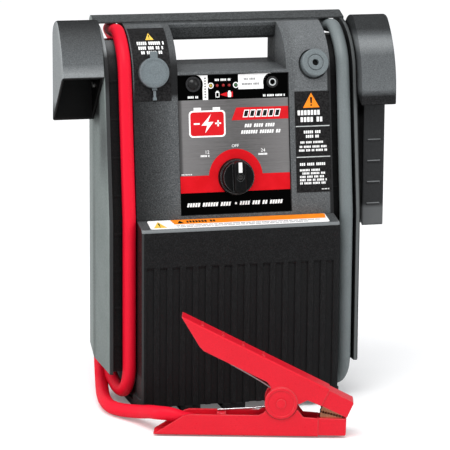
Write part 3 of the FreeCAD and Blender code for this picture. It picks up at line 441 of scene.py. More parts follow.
cap_rubber = finish(
    "cap_grey_rubber", (0.125, 0.150, 0.160), rough=0.62, second=(0.105, 0.125, 0.135),
    mottle=60.0, fine=0.12, fine_scale=800.0, bump=0.22, bump_scale=900.0, edge_wear_and_highlight=0.35,
    edge_wear_and_highlight_color=(0.26, 0.29, 0.30), bevel=0.0007, specular=0.4,
    pieces="outlet_cap cap_strap")
finish("buzzer_grey_plastic", (0.125, 0.148, 0.155), second=(0.105, 0.125, 0.13),
       mottle=60.0, fine=0.15, bump=0.2, edge_wear_and_highlight=0.4, edge_wear_and_highlight_color=(0.28, 0.31, 0.32),
       bevel=0.0007, pieces="buzzer_horn")
finish("black_rubber", (0.02, 0.02, 0.021), rough=0.6, fine=0.2, bump=0.25, edge_wear_and_highlight=0.25,
       bevel=0.0008, specular=0.15, pieces="cable_grommets")
finish("outlet_black_plastic", (0.015, 0.015, 0.016), rough=0.35, fine=0.2, bump=0.15,
       bevel=0.0006, specular=0.2, pieces="outlet_barrel outlet_insulator")
finish("label_black_film", (0.0075, 0.0072, 0.0075), second=(0.0060, 0.0058, 0.0060),
       mottle=30.0, fine=0.5, fine_scale=500.0, bump=0.12, bump_scale=500.0,
       specular=0.12, pieces="socket_label buzzer_label")
finish("label_white_film", (0.90, 0.90, 0.89), rough=0.35, second=(0.86, 0.86, 0.85),
       bump=0.05, coat=0.3, specular=0.12, pieces="ledge_label")


def ink(name, color, rough=0.4, second=None, mottle=300.0, specular=0.15):
    return finish(name, color, rough=rough, second=second, mottle=mottle, specular=specular)


white_ink = ink("print_white_ink", (0.93, 0.93, 0.92), second=(0.86, 0.86, 0.85))
grey_ink = ink("print_grey_ink", (0.22, 0.22, 0.22))
black_ink_and_shade = ink("print_black_ink_and_hole_shade", (0.01, 0.01, 0.01))
red_ink = ink("print_red_ink", (0.62, 0.0095, 0.016), rough=0.42,
              second=(0.57, 0.0075, 0.012), mottle=80.0, specular=0.12)
orange_ink = ink("print_orange_ink", (0.90, 0.26, 0.015), second=(0.85, 0.22, 0.012),
                 mottle=60.0)
yellow_ink = ink("print_yellow_ink", (0.82, 0.55, 0.09), second=(0.72, 0.46, 0.07),
                 mottle=120.0)
line_ink_and_highlight = ink("print_light_line_and_jack_highlight", (0.55, 0.57, 0.57), mottle=150.0)

for lamp, color in (("yellow", (0.48, 0.36, 0.03)),
                    ("red", (0.30, 0.012, 0.012)),
                    ("green", (0.02, 0.13, 0.03))):
    finish("lens_" + lamp, color, rough=0.18, mottle=300.0, coat=0.6, subsurface=0.2,
           pieces="led_" + lamp)
finish("button_black_rubber", (0.008, 0.008, 0.008), rough=0.3, fine=0.2, bump=0.2,
       bump_scale=700.0, bevel=0.0006, specular=0.35, pieces="status_button")


def grip_pieces(color):
    return f"{color}_clamp_upper_lever {color}_clamp_lower_lever {color}_clamp_pivot_pin"


def clamp_pieces(*parts):
    return " ".join(f"{color}_clamp_{part}" for color in ("red", "black") for part in parts)


JACKETS = {
    "red": finish(
        "red_cable_jacket", (0.72, 0.0065, 0.026), rough=0.46, second=(0.66, 0.005, 0.022),
        mottle=45.0, fine=0.03, bump=0.08, bump_scale=350.0, specular=0.12,
        pieces="red_cable"),
    "black": finish(
        "dark_cable_jacket", (0.150, 0.172, 0.175), rough=0.42,
        second=(0.128, 0.148, 0.150), mottle=45.0, fine=0.08, bump=0.12, bump_scale=350.0,
        specular=0.3, pieces="black_cable"),
}
# The lightened edges of both grips are painted highlights.
GRIPS = {
    "red": finish(
        "red_clamp_insulation", (0.66, 0.0075, 0.022), rough=0.34,
        second=(0.60, 0.0055, 0.018), mottle=30.0, fine=0.05, bump=0.10, bump_scale=420.0,
        edge_wear_and_highlight=0.30, edge_wear_and_highlight_color=(0.90, 0.30, 0.30), bevel=0.0014, specular=0.25, coat=0.08,
        coat_rough=0.25, pieces=grip_pieces("red")),
    "black": finish(
        "black_clamp_insulation", (0.023, 0.024, 0.025), rough=0.36, mottle=30.0,
        fine=0.15, bump=0.12, edge_wear_and_highlight=0.45, edge_wear_and_highlight_color=(0.12, 0.128, 0.13), bevel=0.0014,
        specular=0.2, zones=grip_zones, pieces=grip_pieces("black")),
}
finish("plated_pin_steel", (0.62, 0.62, 0.62), rough=0.26, metal=1.0, mottle=150.0,
       bump=0.1, bevel=0.0006)
spring_steel = finish(
    "bright_spring_wire", (0.70, 0.70, 0.71), rough=0.20, metal=1.0, mottle=220.0,
    bump=0.08, stretch=(1, 1, 4), pieces=clamp_pieces("spring"))
finish("copper_plated_jaw", (0.80, 0.38, 0.22), rough=0.32, metal=1.0,
       second=(0.62, 0.27, 0.15), mottle=140.0, bump=0.2, edge_wear_and_highlight=0.3,
       edge_wear_and_highlight_color=(0.95, 0.62, 0.45), bevel=0.0005,
       pieces=clamp_pieces("upper_jaw", "lower_jaw"))
finish("heat_shrink_sleeve", (0.013, 0.013, 0.013), rough=0.4, fine=0.15, bump=0.2,
       bevel=0.0015, pieces=clamp_pieces("cable_lug"))


def panel_film():
    """Printed film in bands by height: black foot, red band, silver field, black strip."""
    foot_top, band_top, strip_bottom = 256.9, 276.6, 363.9
    arch_x, arch_z, arch_radius = 1.5, 274.0, 32.6
    black = (0.0007, 0.0007, 0.0007)

    material, tree, shader = new_material("panel_printed_film")
    coords = object_coords(tree)
    x, _, z = axes_mm(coords)

    # Brushed silver: coarse and fine streaks, a painted reflection that makes it paler away
    # from the middle, and a painted shadow on the left edge.
    streaks = noise(stretched(coords, (14.0, 1.0, 900.0)), 1.0, detail=4.0, rough=0.7)
    hairs = noise(stretched(coords, (120.0, 1.0, 2200.0)), 1.0, detail=2.0, rough=0.6)
    off_center_reflection = abs(x + -6.0).ramp(8.0, 66.0)
    silver = mix(streaks.ramp(0.35, 0.65), (0.088, 0.083, 0.082), (0.150, 0.144, 0.143))
    silver = mix(hairs.ramp(0.4, 0.62) * 0.35, silver, (0.21, 0.205, 0.205))
    silver = mix(off_center_reflection * 0.52, silver, (0.30, 0.293, 0.293))
    silver = mix(x.ramp(-61.0, -63.5, 0.0, 0.75), silver, (0.035, 0.034, 0.034))
    red = mix(noise(coords, 60.0).ramp(0.35, 0.65),
              (0.57, 0.0075, 0.012), (0.62, 0.0095, 0.016))

    # Red arch round the selector, rising from the red band.
    up = (z + -arch_z) * (1.0 / math.cos(TILT))
    arch = distance(x + -arch_x, up) < arch_radius
    tint = mix(arch, silver, red)
    tint = mix(z > band_top, red, tint)
    tint = mix(z > foot_top, black, tint)
    tint = mix(z > strip_bottom, tint, black)
    is_silver = (z > band_top) * (1.0 - (z > strip_bottom)) * (1.0 - arch)
    set_inputs(shader, {
        "Base Color": tint,
        "Metallic": is_silver * 0.35,
        "Roughness": streaks.ramp(0.3, 0.7, 0.34, 0.46),
        "Specular IOR Level": is_silver * 0.40 + 0.02,
        "Normal": bump_normal(noise(coords, 700.0), strength=0.12, depth=0.0002)})
    return material


dress("panel_overlay", panel_film())


# ---------------------------------------------------------------- places on the casing
def front_y(z, depth=0.0):
    """y of the front profile at height z, sunk by a depth."""
    if z < KNEE_Z:
        return FRONT_Y + depth
    if z < ARC_Z:
        return FRONT_Y + (z - KNEE_Z) * math.tan(TILT) + depth
    return ARC_CENTER_Y - math.sqrt((ARC_RADIUS - depth) ** 2 - (z - ARC_CENTER_Z) ** 2)


def arc_angle(z):
    return math.asin((z - ARC_CENTER_Z) / ARC_RADIUS)


def on_face(x, z, lift):
    """Point over the front face: across, height, distance out."""
    angle = TILT if z < ARC_Z else arc_angle(z)
    if z < KNEE_Z:
        angle = 0.0
    return Vector((x, front_y(z) - lift * math.cos(angle), z + lift * math.sin(angle))) * MM


def tilted_plane(origin, angle):
    """Return a function that places (across, up the slope, out) on a leaning plane."""
    out = Vector((0, -math.cos(angle), math.sin(angle)))
    up = Vector((0, math.sin(angle), math.cos(angle)))

    def place(x, rise, lift):
        return (Vector(origin) + Vector((x, 0, 0)) + up * rise + out * lift) * MM

    return place


panel_plane = tilted_plane((0, FRONT_Y, KNEE_Z), TILT)


def on_panel(x, z, lift):
    """Point over the casing plane at the panel; a negative lift is below it."""
    return panel_plane(x, (z - KNEE_Z) / math.cos(TILT), lift)


def on_ledge(x, back, lift):
    """Point over the sloping ledge; back runs from its front edge."""
    cosine, sine = math.cos(LEDGE_SLOPE), math.sin(LEDGE_SLOPE)
    return Vector((x, LEDGE_Y + back * cosine - lift * sine,
                   LEDGE_Z + back * sine + lift * cosine)) * MM


# ---------------------------------------------------------------- mesh helpers
def add_object(name, mesh, material, body="root"):
    piece = bpy.data.objects.new(name, mesh)
    bpy.context.scene.collection.objects.link(piece)
    piece.data.materials.append(material)
    if body:
        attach(piece, body)
    return piece


def add_bmesh(name, bm, material, body, smooth=False):
    """Turn a bmesh into an object; smooth shades its four-sided faces."""
    bmesh.ops.recalc_face_normals(bm, faces=bm.faces)
    if smooth:
        for face in bm.faces:
            face.smooth = len(face.verts) == 4
    mesh = bpy.data.meshes.new(name)
    bm.to_mesh(mesh)
    bm.free()
    return add_object(name, mesh, material, body)


def bridge(bm, first, second):
    """Join two closed loops of equal count with quads."""
    count = len(first)
    for i in range(count):
        j = (i + 1) % count
        bm.faces.new((first[i], first[j], second[j], second[i]))


def plates(name, outlines, place, low, top, material, body="root"):
    """Thin closed plates from outlines of (x, z) points, counter-clockwise from outside."""
    bm = bmesh.new()
    for outline in outlines:
        under = [bm.verts.new(place(x, z, low)) for x, z in outline]
        over = [bm.verts.new(place(x, z, top)) for x, z in outline]
        bm.faces.new(over)
        bm.faces.new(under[::-1])
        bridge(bm, under, over)
    add_bmesh(name, bm, material, body)


# ---------------------------------------------------------------- outlines
def rect(x0, x1, z0, z1):
    return [(x0, z0), (x1, z0), (x1, z1), (x0, z1)]


def arc(x, z, radius, start, step, count):
    """Points round a center, angles in degrees."""
    angles = [math.radians(start + step * i) for i in range(count)]
    return [(x + radius * math.cos(a), z + radius * math.sin(a)) for a in angles]


def round_rect(x0, x1, z0, z1, radius, steps=5):
    corners = ((x1 - radius, z0 + radius, -90), (x1 - radius, z1 - radius, 0),
               (x0 + radius, z1 - radius, 90), (x0 + radius, z0 + radius, 180))
    return [point for x, z, start in corners
            for point in arc(x, z, radius, start, 90 / steps, steps + 1)]


def disc(x, z, radius, count):
    return arc(x, z, radius, 0, 360 / count, count)


def ring(x, z, inner_radius, outer_radius, count):
    """A ring as short segments."""
    inner = disc(x, z, inner_radius, count)
    outer = disc(x, z, outer_radius, count)
    return [[inner[i - 1], outer[i - 1], outer[i], inner[i]]
            for i in [*range(1, count), 0]]


def triangle(x, z0, z1, half):
    return [(x - half, z0), (x + half, z0), (x, z1)]


def triangle_strips(x, z0, z1, half, count=7):
    """A triangle as level strips, so that it follows a curved face."""
    strips = []
    for i in range(count):
        a, b = i / count, (i + 1) / count
        half_low, half_high = half * (1 - a), half * (1 - b)
        low, high = z0 + (z1 - z0) * a, z0 + (z1 - z0) * b
        strip = [(x - half_low, low), (x + half_low, low)]
        if i < count - 1:
            strip += [(x + half_high, high), (x - half_high, high)]
        else:
            strip.append((x, high))
        strips.append(strip)
    return strips


def exclamation(x, z0, z1, half_low, half_high, dot_z, dot_radius, dot_count):
    bar = [(x - half_low, z0), (x + half_low, z0), (x + half_high, z1), (x - half_high, z1)]
    return [bar, disc(x, dot_z, dot_radius, dot_count)]


# Tick counts of successive groups; each group takes one of the two by turn.
GROUP_COUNTS = [(5, 4), (3, 6), (4, 4), (7, 3), (2, 6), (4, 5)]


def marks(*rows):
    """Rows of upright ticks in groups, standing in for lines of print.

    Each row is (x0, x1, middle z, height, first group) and optionally the slant.
    """
    ticks = []
    for x, x1, z, height, seed, *slant in rows:
        width, gap, group_gap = height * 0.52, height * 0.20, height * 0.62
        lean = slant[0] * height if slant else 0.0
        group = seed
        left = GROUP_COUNTS[group % len(GROUP_COUNTS)][0]
        while x + width <= x1 + 1e-6:
            ticks.append([(x, z - height / 2), (x + width, z - height / 2),
                          (x + width + lean, z + height / 2), (x + lean, z + height / 2)])
            left -= 1
            x += width + gap
            if left == 0:
                x += group_gap
                group += 1
                left = GROUP_COUNTS[group % len(GROUP_COUNTS)][(group + seed) % 2]
    return ticks


# ---------------------------------------------------------------- panel artwork
PRINT_LOW, PRINT_TOP = -2.11, -1.98
SLANT = 0.25


def panel_print(name, outlines, material=white_ink, low=PRINT_LOW, top=PRINT_TOP):
    plates(name, outlines, on_panel, low, top, material)


def slanted_bar(x0, x1, z0, z1, base_z=342.6):
    low, high = SLANT * (z0 - base_z), SLANT * (z1 - base_z)
    return [(x0 + low, z0), (x1 + low, z0), (x1 + high, z1), (x0 + high, z1)]


# Red stripe with a slanted left end, and six white-edged black bars on it.
panel_print("panel_stripe", [[(-2.0, 339.6), (67.2, 339.6), (67.2, 354.2), (4.0, 354.2)]],
            red_ink)
bars = [(11.5 + 7.6 * k, 17.9 + 7.6 * k) for k in range(6)]
panel_print("panel_stripe_bars_back", [slanted_bar(a, b, 342.6, 351.4) for a, b in bars],
            low=PRINT_TOP - 0.02, top=PRINT_TOP + 0.05)
panel_print("panel_stripe_bars",
            [slanted_bar(a + 1.0, b - 1.0, 343.7, 350.3) for a, b in bars],
            black_ink_and_shade, low=PRINT_TOP + 0.03, top=PRINT_TOP + 0.11)

# Battery emblem: white outline, red field, white bolt with a minus and a plus.
panel_print("panel_emblem_outline", [
    round_rect(-53.5, -9.5, 321.0, 352.0, 4.5),
    rect(-47.5, -38.5, 351.9, 355.4), rect(-24.5, -15.5, 351.9, 355.4)])
panel_print("panel_emblem_field", [round_rect(-51.7, -11.3, 322.8, 350.2, 3.4)], red_ink,
            low=PRINT_TOP - 0.02, top=PRINT_TOP + 0.07)
bolt = [(-34.5, 325.5), (-24.0, 338.6), (-30.6, 338.6),
        (-26.8, 347.6), (-38.6, 334.6), (-31.6, 334.6)]
panel_print("panel_emblem_bolt", [
    bolt, rect(-47.8, -40.6, 335.9, 337.7),
    rect(-22.0, -14.8, 335.9, 337.7), rect(-19.3, -17.5, 333.2, 340.4)],
    low=PRINT_TOP + 0.05, top=PRINT_TOP + 0.14)
panel_print("panel_print_marks", [
    *marks((13.5, 52.0, 333.0, 4.0, 1, SLANT), (9.0, 59.0, 325.6, 4.0, 3, SLANT),
           (-58.5, -3.5, 243.2, 4.4, 0, SLANT)),
    disc(0.6, 243.4, 1.3, 14),
    *marks((5.0, 60.5, 243.4, 4.4, 2, SLANT), (-21.0, -1.0, 386.9, 2.5, 1),
           (-54.0, -41.0, 367.6, 2.6, 2), (37.0, 63.5, 367.2, 2.4, 4),
           (-40.5, -29.5, 299.4, 2.2, 0), (29.5, 42.5, 299.4, 2.2, 3),
           (-64.0, -51.0, 278.6, 1.3, 2))])

# Top strip: white tab beside the button, white box beside the jack, each with a side
# curved round its neighbor; then the lamp rings and the charge pictograms.
tab = [(-36.0, 364.1), (-29.6, 364.1), (-29.6, 392.7), (-43.0, 392.7),
       *arc(-47.4, 382.2, 12.0, 62, -9.4, 9), (-36.0, 377.0)]
box = [(7.3, 375.3), (37.6, 375.3), *arc(48.5, 382.4, 11.2, 196, -13.2, 8),
       (48.0, 392.7), (7.3, 392.7)]
panel_print("panel_white_fields", [tab, box])
panel_print("panel_lamp_rings", [*ring(-26.0, 380.4, 2.4, 3.5, 28),
                                 *ring(4.3, 380.4, 2.4, 3.5, 28)], top=PRINT_TOP + 0.03)
empty_cell = [rect(-20.6, -15.8, 366.6, 367.4), rect(-20.6, -19.8, 366.6, 372.8),
              rect(-16.6, -15.8, 366.6, 372.8), rect(-20.6, -15.8, 372.0, 372.8),
              rect(-19.4, -17.0, 372.7, 374.2)]
full_cell = [round_rect(-5.8, -1.6, 366.6, 372.8, 0.7, 3), rect(-5.0, -2.6, 372.7, 374.2)]
panel_print("panel_charge_cells", empty_cell + full_cell)
panel_print("panel_charge_wedge", [
    [(-14.6, 369.4), (-6.4, 367.2), (-6.4, 372.6), (-14.6, 370.2)],
    round_rect(-1.5, 0.3, 366.6, 373.2, 0.8, 3)], red_ink, top=PRINT_TOP + 0.01)
panel_print("panel_grey_marks", [
    *marks((14.0, 30.0, 387.0, 2.5, 1), (11.5, 32.5, 381.2, 2.5, 3)),
    *[rect(-33.9, -31.7, 366.4 + k * 3.1, 368.2 + k * 3.1) for k in range(8)]],
    grey_ink, low=PRINT_TOP - 0.02, top=PRINT_TOP + 0.05)


def dial_mark(name, text, size, x, z):
    """Raised lettering, centered on a point of the panel."""
    curve = bpy.data.curves.new(name, "FONT")
    curve.body = text
    curve.size = size
    curve.align_x = "CENTER"
    curve.align_y = "CENTER"
    curve.extrude = 0.03
    curve.resolution_u = 4
    holder = bpy.data.objects.new(name + "_tmp", curve)
    bpy.context.scene.collection.objects.link(holder)
    bpy.context.view_layer.update()
    depsgraph = bpy.context.evaluated_depsgraph_get()
    mesh = bpy.data.meshes.new_from_object(holder.evaluated_get(depsgraph))
    bpy.data.objects.remove(holder)
    bpy.data.curves.remove(curve)
    mesh.name = name
    for vertex in mesh.vertices:
        across, up, out = vertex.co
        vertex.co = on_panel(x + across, z + up, PRINT_TOP + out)
    add_object(name, mesh, white_ink)


dial_mark("dial_mark_off", "OFF", size=5.0, x=1.6, z=310.0)
dial_mark("dial_mark_12", "12", size=5.6, x=-32.6, z=303.6)
dial_mark("dial_mark_24", "24", size=5.6, x=35.2, z=303.6)

# ---------------------------------------------------------------- labels
LABEL_LOW, LABEL_TOP = 0.39, 0.50


def label_print(name, outlines, material=white_ink, place=on_face,
                low=LABEL_LOW, top=LABEL_TOP):
    plates(name, outlines, place, low, top, material)


# Socket label, upper left.
label_print("socket_label_triangle", triangle_strips(-94.6, 432.6, 439.4, 5.0), yellow_ink,
            top=LABEL_TOP + 0.06)
label_print("socket_label_mark",
            exclamation(-94.6, 435.0, 437.4, 0.4, 0.6, 434.0, 0.45, 10),
            black_ink_and_shade, low=LABEL_TOP, top=LABEL_TOP + 0.14)
label_print("socket_label_marks", marks(
    (-110.5, -78.5, 429.2, 3.3, 0), (-109.5, -79.0, 424.3, 3.3, 2),
    (-107.0, -82.0, 419.4, 3.3, 4)))
label_print("socket_label_border", [
    rect(-116.9, -116.5, 365.2, 443.8), rect(-75.1, -74.7, 365.2, 443.8)],
    black_ink_and_shade, top=LABEL_TOP - 0.04)

# Buzzer label, right.
label_print("buzzer_label_triangle", [triangle(94.9, 351.3, 368.6, 10.2)], orange_ink)
label_print("buzzer_label_mark",
            exclamation(94.9, 356.4, 363.4, 0.8, 1.4, 354.3, 1.05, 14),
            black_ink_and_shade, low=LABEL_TOP - 0.02, top=LABEL_TOP + 0.05)
label_print("buzzer_label_marks", marks(
    (78.0, 112.5, 345.6, 5.6, 3), (81.5, 110.0, 337.6, 5.6, 5),
    (85.0, 106.5, 323.0, 3.3, 0), (87.5, 104.5, 317.8, 3.3, 2),
    (80.5, 111.0, 311.0, 2.5, 1), (79.5, 112.5, 305.8, 2.5, 4),
    (78.5, 113.0, 301.6, 2.5, 2), (79.3, 112.5, 285.4, 3.2, 1),
    (79.0, 104.5, 278.5, 2.5, 3), (82.0, 110.5, 274.7, 2.5, 0),
    (79.0, 110.0, 270.7, 2.5, 5), (79.0, 112.0, 266.9, 2.5, 2),
    (79.0, 111.0, 263.2, 2.5, 4), (105.5, 114.8, 255.9, 1.2, 1)))
label_print("buzzer_label_dividers", [
    rect(75.4, 116.8, 329.2, 330.3), rect(75.4, 116.8, 293.3, 294.4)], line_ink_and_highlight)

# Ledge label; here the second coordinate runs back from the ledge's front edge.
label_print("ledge_label_band", [[
    (-77.4, 14.2), (105.6, 14.2), (107.7, 23.6), (106.6, 25.6), (104.6, 26.2),
    (-80.2, 26.2)]], orange_ink, on_ledge, top=0.47)
label_print("ledge_label_triangle", [triangle(-96.0, 6.6, 22.4, 8.0)], yellow_ink, on_ledge,
            top=0.47)
label_print("ledge_label_mark", exclamation(-96.0, 11.0, 18.4, 0.5, 1.0, 8.9, 0.85, 12),
            black_ink_and_shade, on_ledge, low=0.46, top=0.52)
label_print("ledge_label_marks", [
    triangle(-69.5, 16.4, 23.8, 4.0), *marks((-62.0, -26.0, 20.2, 5.0, 3))],
    black_ink_and_shade, on_ledge, low=0.46, top=0.52)
label_print("ledge_label_small_marks", marks(
    (-76.0, 99.0, 11.2, 1.9, 1), (-76.0, 84.0, 7.4, 1.9, 4)), grey_ink, on_ledge, top=0.45)


# ---------------------------------------------------------------- swept parts
def spline(stations, step=3.0):
    """Centripetal Catmull-Rom curve through the stations, cut about every step."""
    points = [np.array(station, float) for station in stations]
    points = [points[0] * 2 - points[1], *points, points[-1] * 2 - points[-2]]
    curve = [points[1]]
    for p0, p1, p2, p3 in zip(points, points[1:], points[2:], points[3:]):
        t0 = 0.0
        t1 = t0 + math.sqrt(np.linalg.norm(p1 - p0))
        t2 = t1 + math.sqrt(np.linalg.norm(p2 - p1))
        t3 = t2 + math.sqrt(np.linalg.norm(p3 - p2))

        def blend(start, end, from_t, to_t, t):
            return start * ((to_t - t) / (to_t - from_t)) + end * (
                (t - from_t) / (to_t - from_t))

        count = max(1, int(round(np.linalg.norm(p2 - p1) / step)))
        for k in range(1, count + 1):
            t = t1 + (t2 - t1) * k / count
            a1 = blend(p0, p1, t0, t1, t)
            a2 = blend(p1, p2, t1, t2, t)
            a3 = blend(p2, p3, t2, t3, t)
            b1 = blend(a1, a2, t0, t2, t)
            b2 = blend(a2, a3, t1, t3, t)
            curve.append(blend(b1, b2, t1, t2, t))
    return curve


def sweep(name, path, radius, material, body=None, segments=28):
    """Round section carried along the path without twist, closed at both ends."""
    bm = bmesh.new()
    loops = []
    across = np.array((1.0, 0, 0))
    for i, center in enumerate(path):
        ahead = path[min(i + 1, len(path) - 1)] - path[max(i - 1, 0)]
        ahead = ahead / np.linalg.norm(ahead)
        across = across - ahead * float(across @ ahead)
        across = across / np.linalg.norm(across)
        up = np.cross(ahead, across)
        angles = [2 * math.pi * k / segments for k in range(segments)]
        loops.append([
            bm.verts.new(Vector(center + (across * math.cos(a) + up * math.sin(a)) * radius)
                         * MM) for a in angles])
    for first, second in zip(loops, loops[1:]):
        bridge(bm, first, second)
    bm.faces.new(loops[0][::-1])
    bm.faces.new(loops[-1])
    return add_bmesh(name, bm, material, body, smooth=True)


# ---------------------------------------------------------------- clamp frames
RED_CLAMP_ORIGIN = (-16.32, -183.02, 1.55)
RED_CLAMP_YAW = math.radians(-16.5)
BLACK_CLAMP_ORIGIN = (176.0, -34.0, 315.5)


def in_red_clamp(along, up, across=0.0):
    """The red clamp lies flat on the floor, turned by its yaw."""
    x, y, z = RED_CLAMP_ORIGIN
    cosine, sine = math.cos(RED_CLAMP_YAW), math.sin(RED_CLAMP_YAW)
    return (x + cosine * along - sine * across, y + sine * along + cosine * across, z + up)


def in_black_clamp(along, up, across=0.0):
    """The black clamp stands upright; its length runs along z."""
    x, y, z = BLACK_CLAMP_ORIGIN
    return (x + across, y + up, z + along)


# ---------------------------------------------------------------- cables
CABLE_RADIUS = 7.9
CHANNEL_TOP, CHANNEL_BOTTOM, CHANNEL_STATIONS = 408, 68, 14


def channel_run(x, depth):
    heights = [CHANNEL_TOP + (CHANNEL_BOTTOM - CHANNEL_TOP) * i / (CHANNEL_STATIONS - 1)
               for i in range(CHANNEL_STATIONS)]
    return [(x, front_y(z, depth), z) for z in heights]


def add_cable(color, top, channel, under, in_clamp, tail):
    """Cable from inside the casing, over its top, down the channel and into the clamp.

    top and under hold (x, y, z) stations, tail holds (along, up) in the clamp's frame.
    """
    path = spline(top + channel + under + [in_clamp(*station) for station in tail])
    cable = sweep(color + "_cable_flex", path, CABLE_RADIUS, JACKETS[color])
    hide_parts(color + "_cable")
    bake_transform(cable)


add_cable(
    "red",
    top=[(-100, 30, 397), (-100, 40, 397), (-100, 52, 397.5), (-102, 68, 402),
         (-111, 78, 418), (-122, 68, 434), (-127.4, 48, 440.0), (-127.7, 24, 440.3),
         (-127.7, 7.1, 440.9), (-127.7, -5.35, 434.4), (-127.7, -17.4, 423.4)],
    channel=channel_run(x=-127.7, depth=4.2),
    under=[(-127.8, -53.6, 48), (-128.6, -50.2, 35), (-129.4, -40, 23.5),
           (-130.2, -20, 17.5), (-130.2, 10, 18), (-130, 36, 25), (-127, 57, 44),
           (-121, 66, 84), (-119.5, 76, 122), (-124, 90, 142), (-132.5, 91, 138),
           (-137, 70, 112), (-138, 58, 80), (-138.5, 54.5, 44), (-141, 38, 19),
           (-146, 10, 10.5), (-149.5, -12, 8.6), (-152, -36, 8.4), (-151, -60, 8.4),
           (-144, -79, 9.2), (-135, -96, 11.5), (-126.5, -116, 15.5),
           (-121.5, -134, 20.0), (-116.0, -148.5, 22.5)],
    in_clamp=in_red_clamp,
    tail=[(-91, 20.8), (-76, 16.2), (-58, 12.6), (-38, 11.6), (-18, 11.4), (6, 11.4)])
add_cable(
    "black",
    top=[(100, 30, 397), (100, 40, 397), (100, 52, 397.5), (102, 68, 402),
         (111, 78, 418), (123, 68, 434), (132.0, 48, 440.0), (134.8, 24, 440.3),
         (136.0, 7.1, 440.9), (136.2, -5.35, 434.4), (136.2, -17.4, 423.4)],
    channel=channel_run(x=136.2, depth=4.0),
    under=[(136.0, -53.8, 48), (135.4, -50.4, 35), (134.0, -40, 23.5),
           (132.0, -20, 17.5), (131.0, 10, 18), (131.0, 38, 27), (132, 57, 55),
           (133, 63, 95), (136, 66, 132), (143, 67, 165), (154, 64, 188),
           (166, 52, 200), (173.5, 33, 205), (176, 12, 207.5), (176, -8, 212)],
    in_clamp=in_black_clamp,
    tail=[(-93, 18.0), (-80, 13.2), (-62, 11.8), (-38, 11.6), (-18, 11.4), (6, 11.4)])

# ---------------------------------------------------------------- clamp springs and rims
PIVOT_ALONG, PIVOT_UP = 34.8, 39.0
MIRROR_ANGLE = math.radians(-13.1)  # line through the pivot between the two levers
WIRE_RADIUS, COIL_RADIUS, COIL_HALF = 1.25, 7.2, 5.0
COIL_TURNS, COIL_STEPS = 4.0, 150
COIL_START = -math.pi / 2 + 0.12
UPPER_LEG_END = math.radians(58)
# Lower spring leg: along, across, up.
SPRING_LEG = [(-37.5, 4.0, 25.6), (-36.0, 4.0, 25.8), (-20.0, 4.2, 26.7),
              (PIVOT_ALONG - 30, 4.6, 28.4), (PIVOT_ALONG - 14, 5.0, 30.4),
              (PIVOT_ALONG - 3.0, 5.0, PIVOT_UP - COIL_RADIUS + 0.1)]
RIM_INNER, RIM_OUTER, RIM_CHAMFER, RIM_SEGMENTS = 14.6, 18.2, 0.25, 56
GRIP_HALF_WIDTH = 13.5 + 1.6


def around_pivot(radius, angle, across):
    return (PIVOT_ALONG + radius * math.cos(angle), across,
            PIVOT_UP + radius * math.sin(angle))


def mirrored(along, across, up):
    """Reflect a point to the upper lever's side and to the other end of the coil."""
    run, rise = along - PIVOT_ALONG, up - PIVOT_UP
    cosine, sine = math.cos(2 * MIRROR_ANGLE), math.sin(2 * MIRROR_ANGLE)
    return (PIVOT_ALONG + cosine * run + sine * rise, -across,
            PIVOT_UP + sine * run - cosine * rise)


def add_wire(name, points, in_clamp, body):
    path = [np.array(in_clamp(along, up, across)) for along, across, up in points]
    return sweep(name, path, WIRE_RADIUS, spring_steel, body, segments=12)


def add_spring(color, in_clamp):
    """Lower leg and coil ride the lower lever, the upper leg rides the upper one."""
    coil = [around_pivot(COIL_RADIUS, COIL_START + 2 * math.pi * COIL_TURNS * i / COIL_STEPS,
                         COIL_HALF - 2 * COIL_HALF * i / COIL_STEPS)
            for i in range(COIL_STEPS + 1)]
    wire = add_wire(color + "_clamp_spring_coil", spline(SPRING_LEG, step=2.0) + coil,
                    in_clamp, color + "_clamp")
    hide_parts(color + "_clamp_spring")
    upper_leg = [mirrored(*station) for station in SPRING_LEG]
    upper_leg.append(around_pivot(COIL_RADIUS, UPPER_LEG_END, -COIL_HALF))
    add_wire(color + "_clamp_spring_leg", spline(upper_leg, step=2.0), in_clamp,
             color + "_clamp_upper")


def add_boss_rim(color, in_clamp, side, sign):
    """Chamfered ring round the pivot on one face of the grip."""
    low, top = GRIP_HALF_WIDTH - 0.2, GRIP_HALF_WIDTH + 0.7
    profile = ((RIM_INNER, low), (RIM_INNER, top - RIM_CHAMFER),
               (RIM_INNER + RIM_CHAMFER, top), (RIM_OUTER - RIM_CHAMFER, top),
               (RIM_OUTER, top - RIM_CHAMFER), (RIM_OUTER, low))
    bm = bmesh.new()
    loops = []
    for i in range(RIM_SEGMENTS):
        loop = []
        for radius, offset in profile:
            along, across, up = around_pivot(
                radius, 2 * math.pi * i / RIM_SEGMENTS, sign * offset)
            loop.append(bm.verts.new(Vector(in_clamp(along, up, across)) * MM))
        loops.append(loop)
    for i in range(RIM_SEGMENTS):
        bridge(bm, loops[i], loops[(i + 1) % RIM_SEGMENTS])
    add_bmesh(f"{color}_clamp_boss_rim_{side}", bm, GRIPS[color],
              color + "_clamp_upper", smooth=True)


for color, in_clamp in (("red", in_red_clamp), ("black", in_black_clamp)):
    add_spring(color, in_clamp)
    add_boss_rim(color, in_clamp, "near", -1)
    add_boss_rim(color, in_clamp, "far", 1)


# ---------------------------------------------------------------- cap, buzzer and jack
def arc_plane(x, z):
    """Plane touching the arc of the casing front at a point."""
    return tilted_plane((x, front_y(z), z), arc_angle(z))


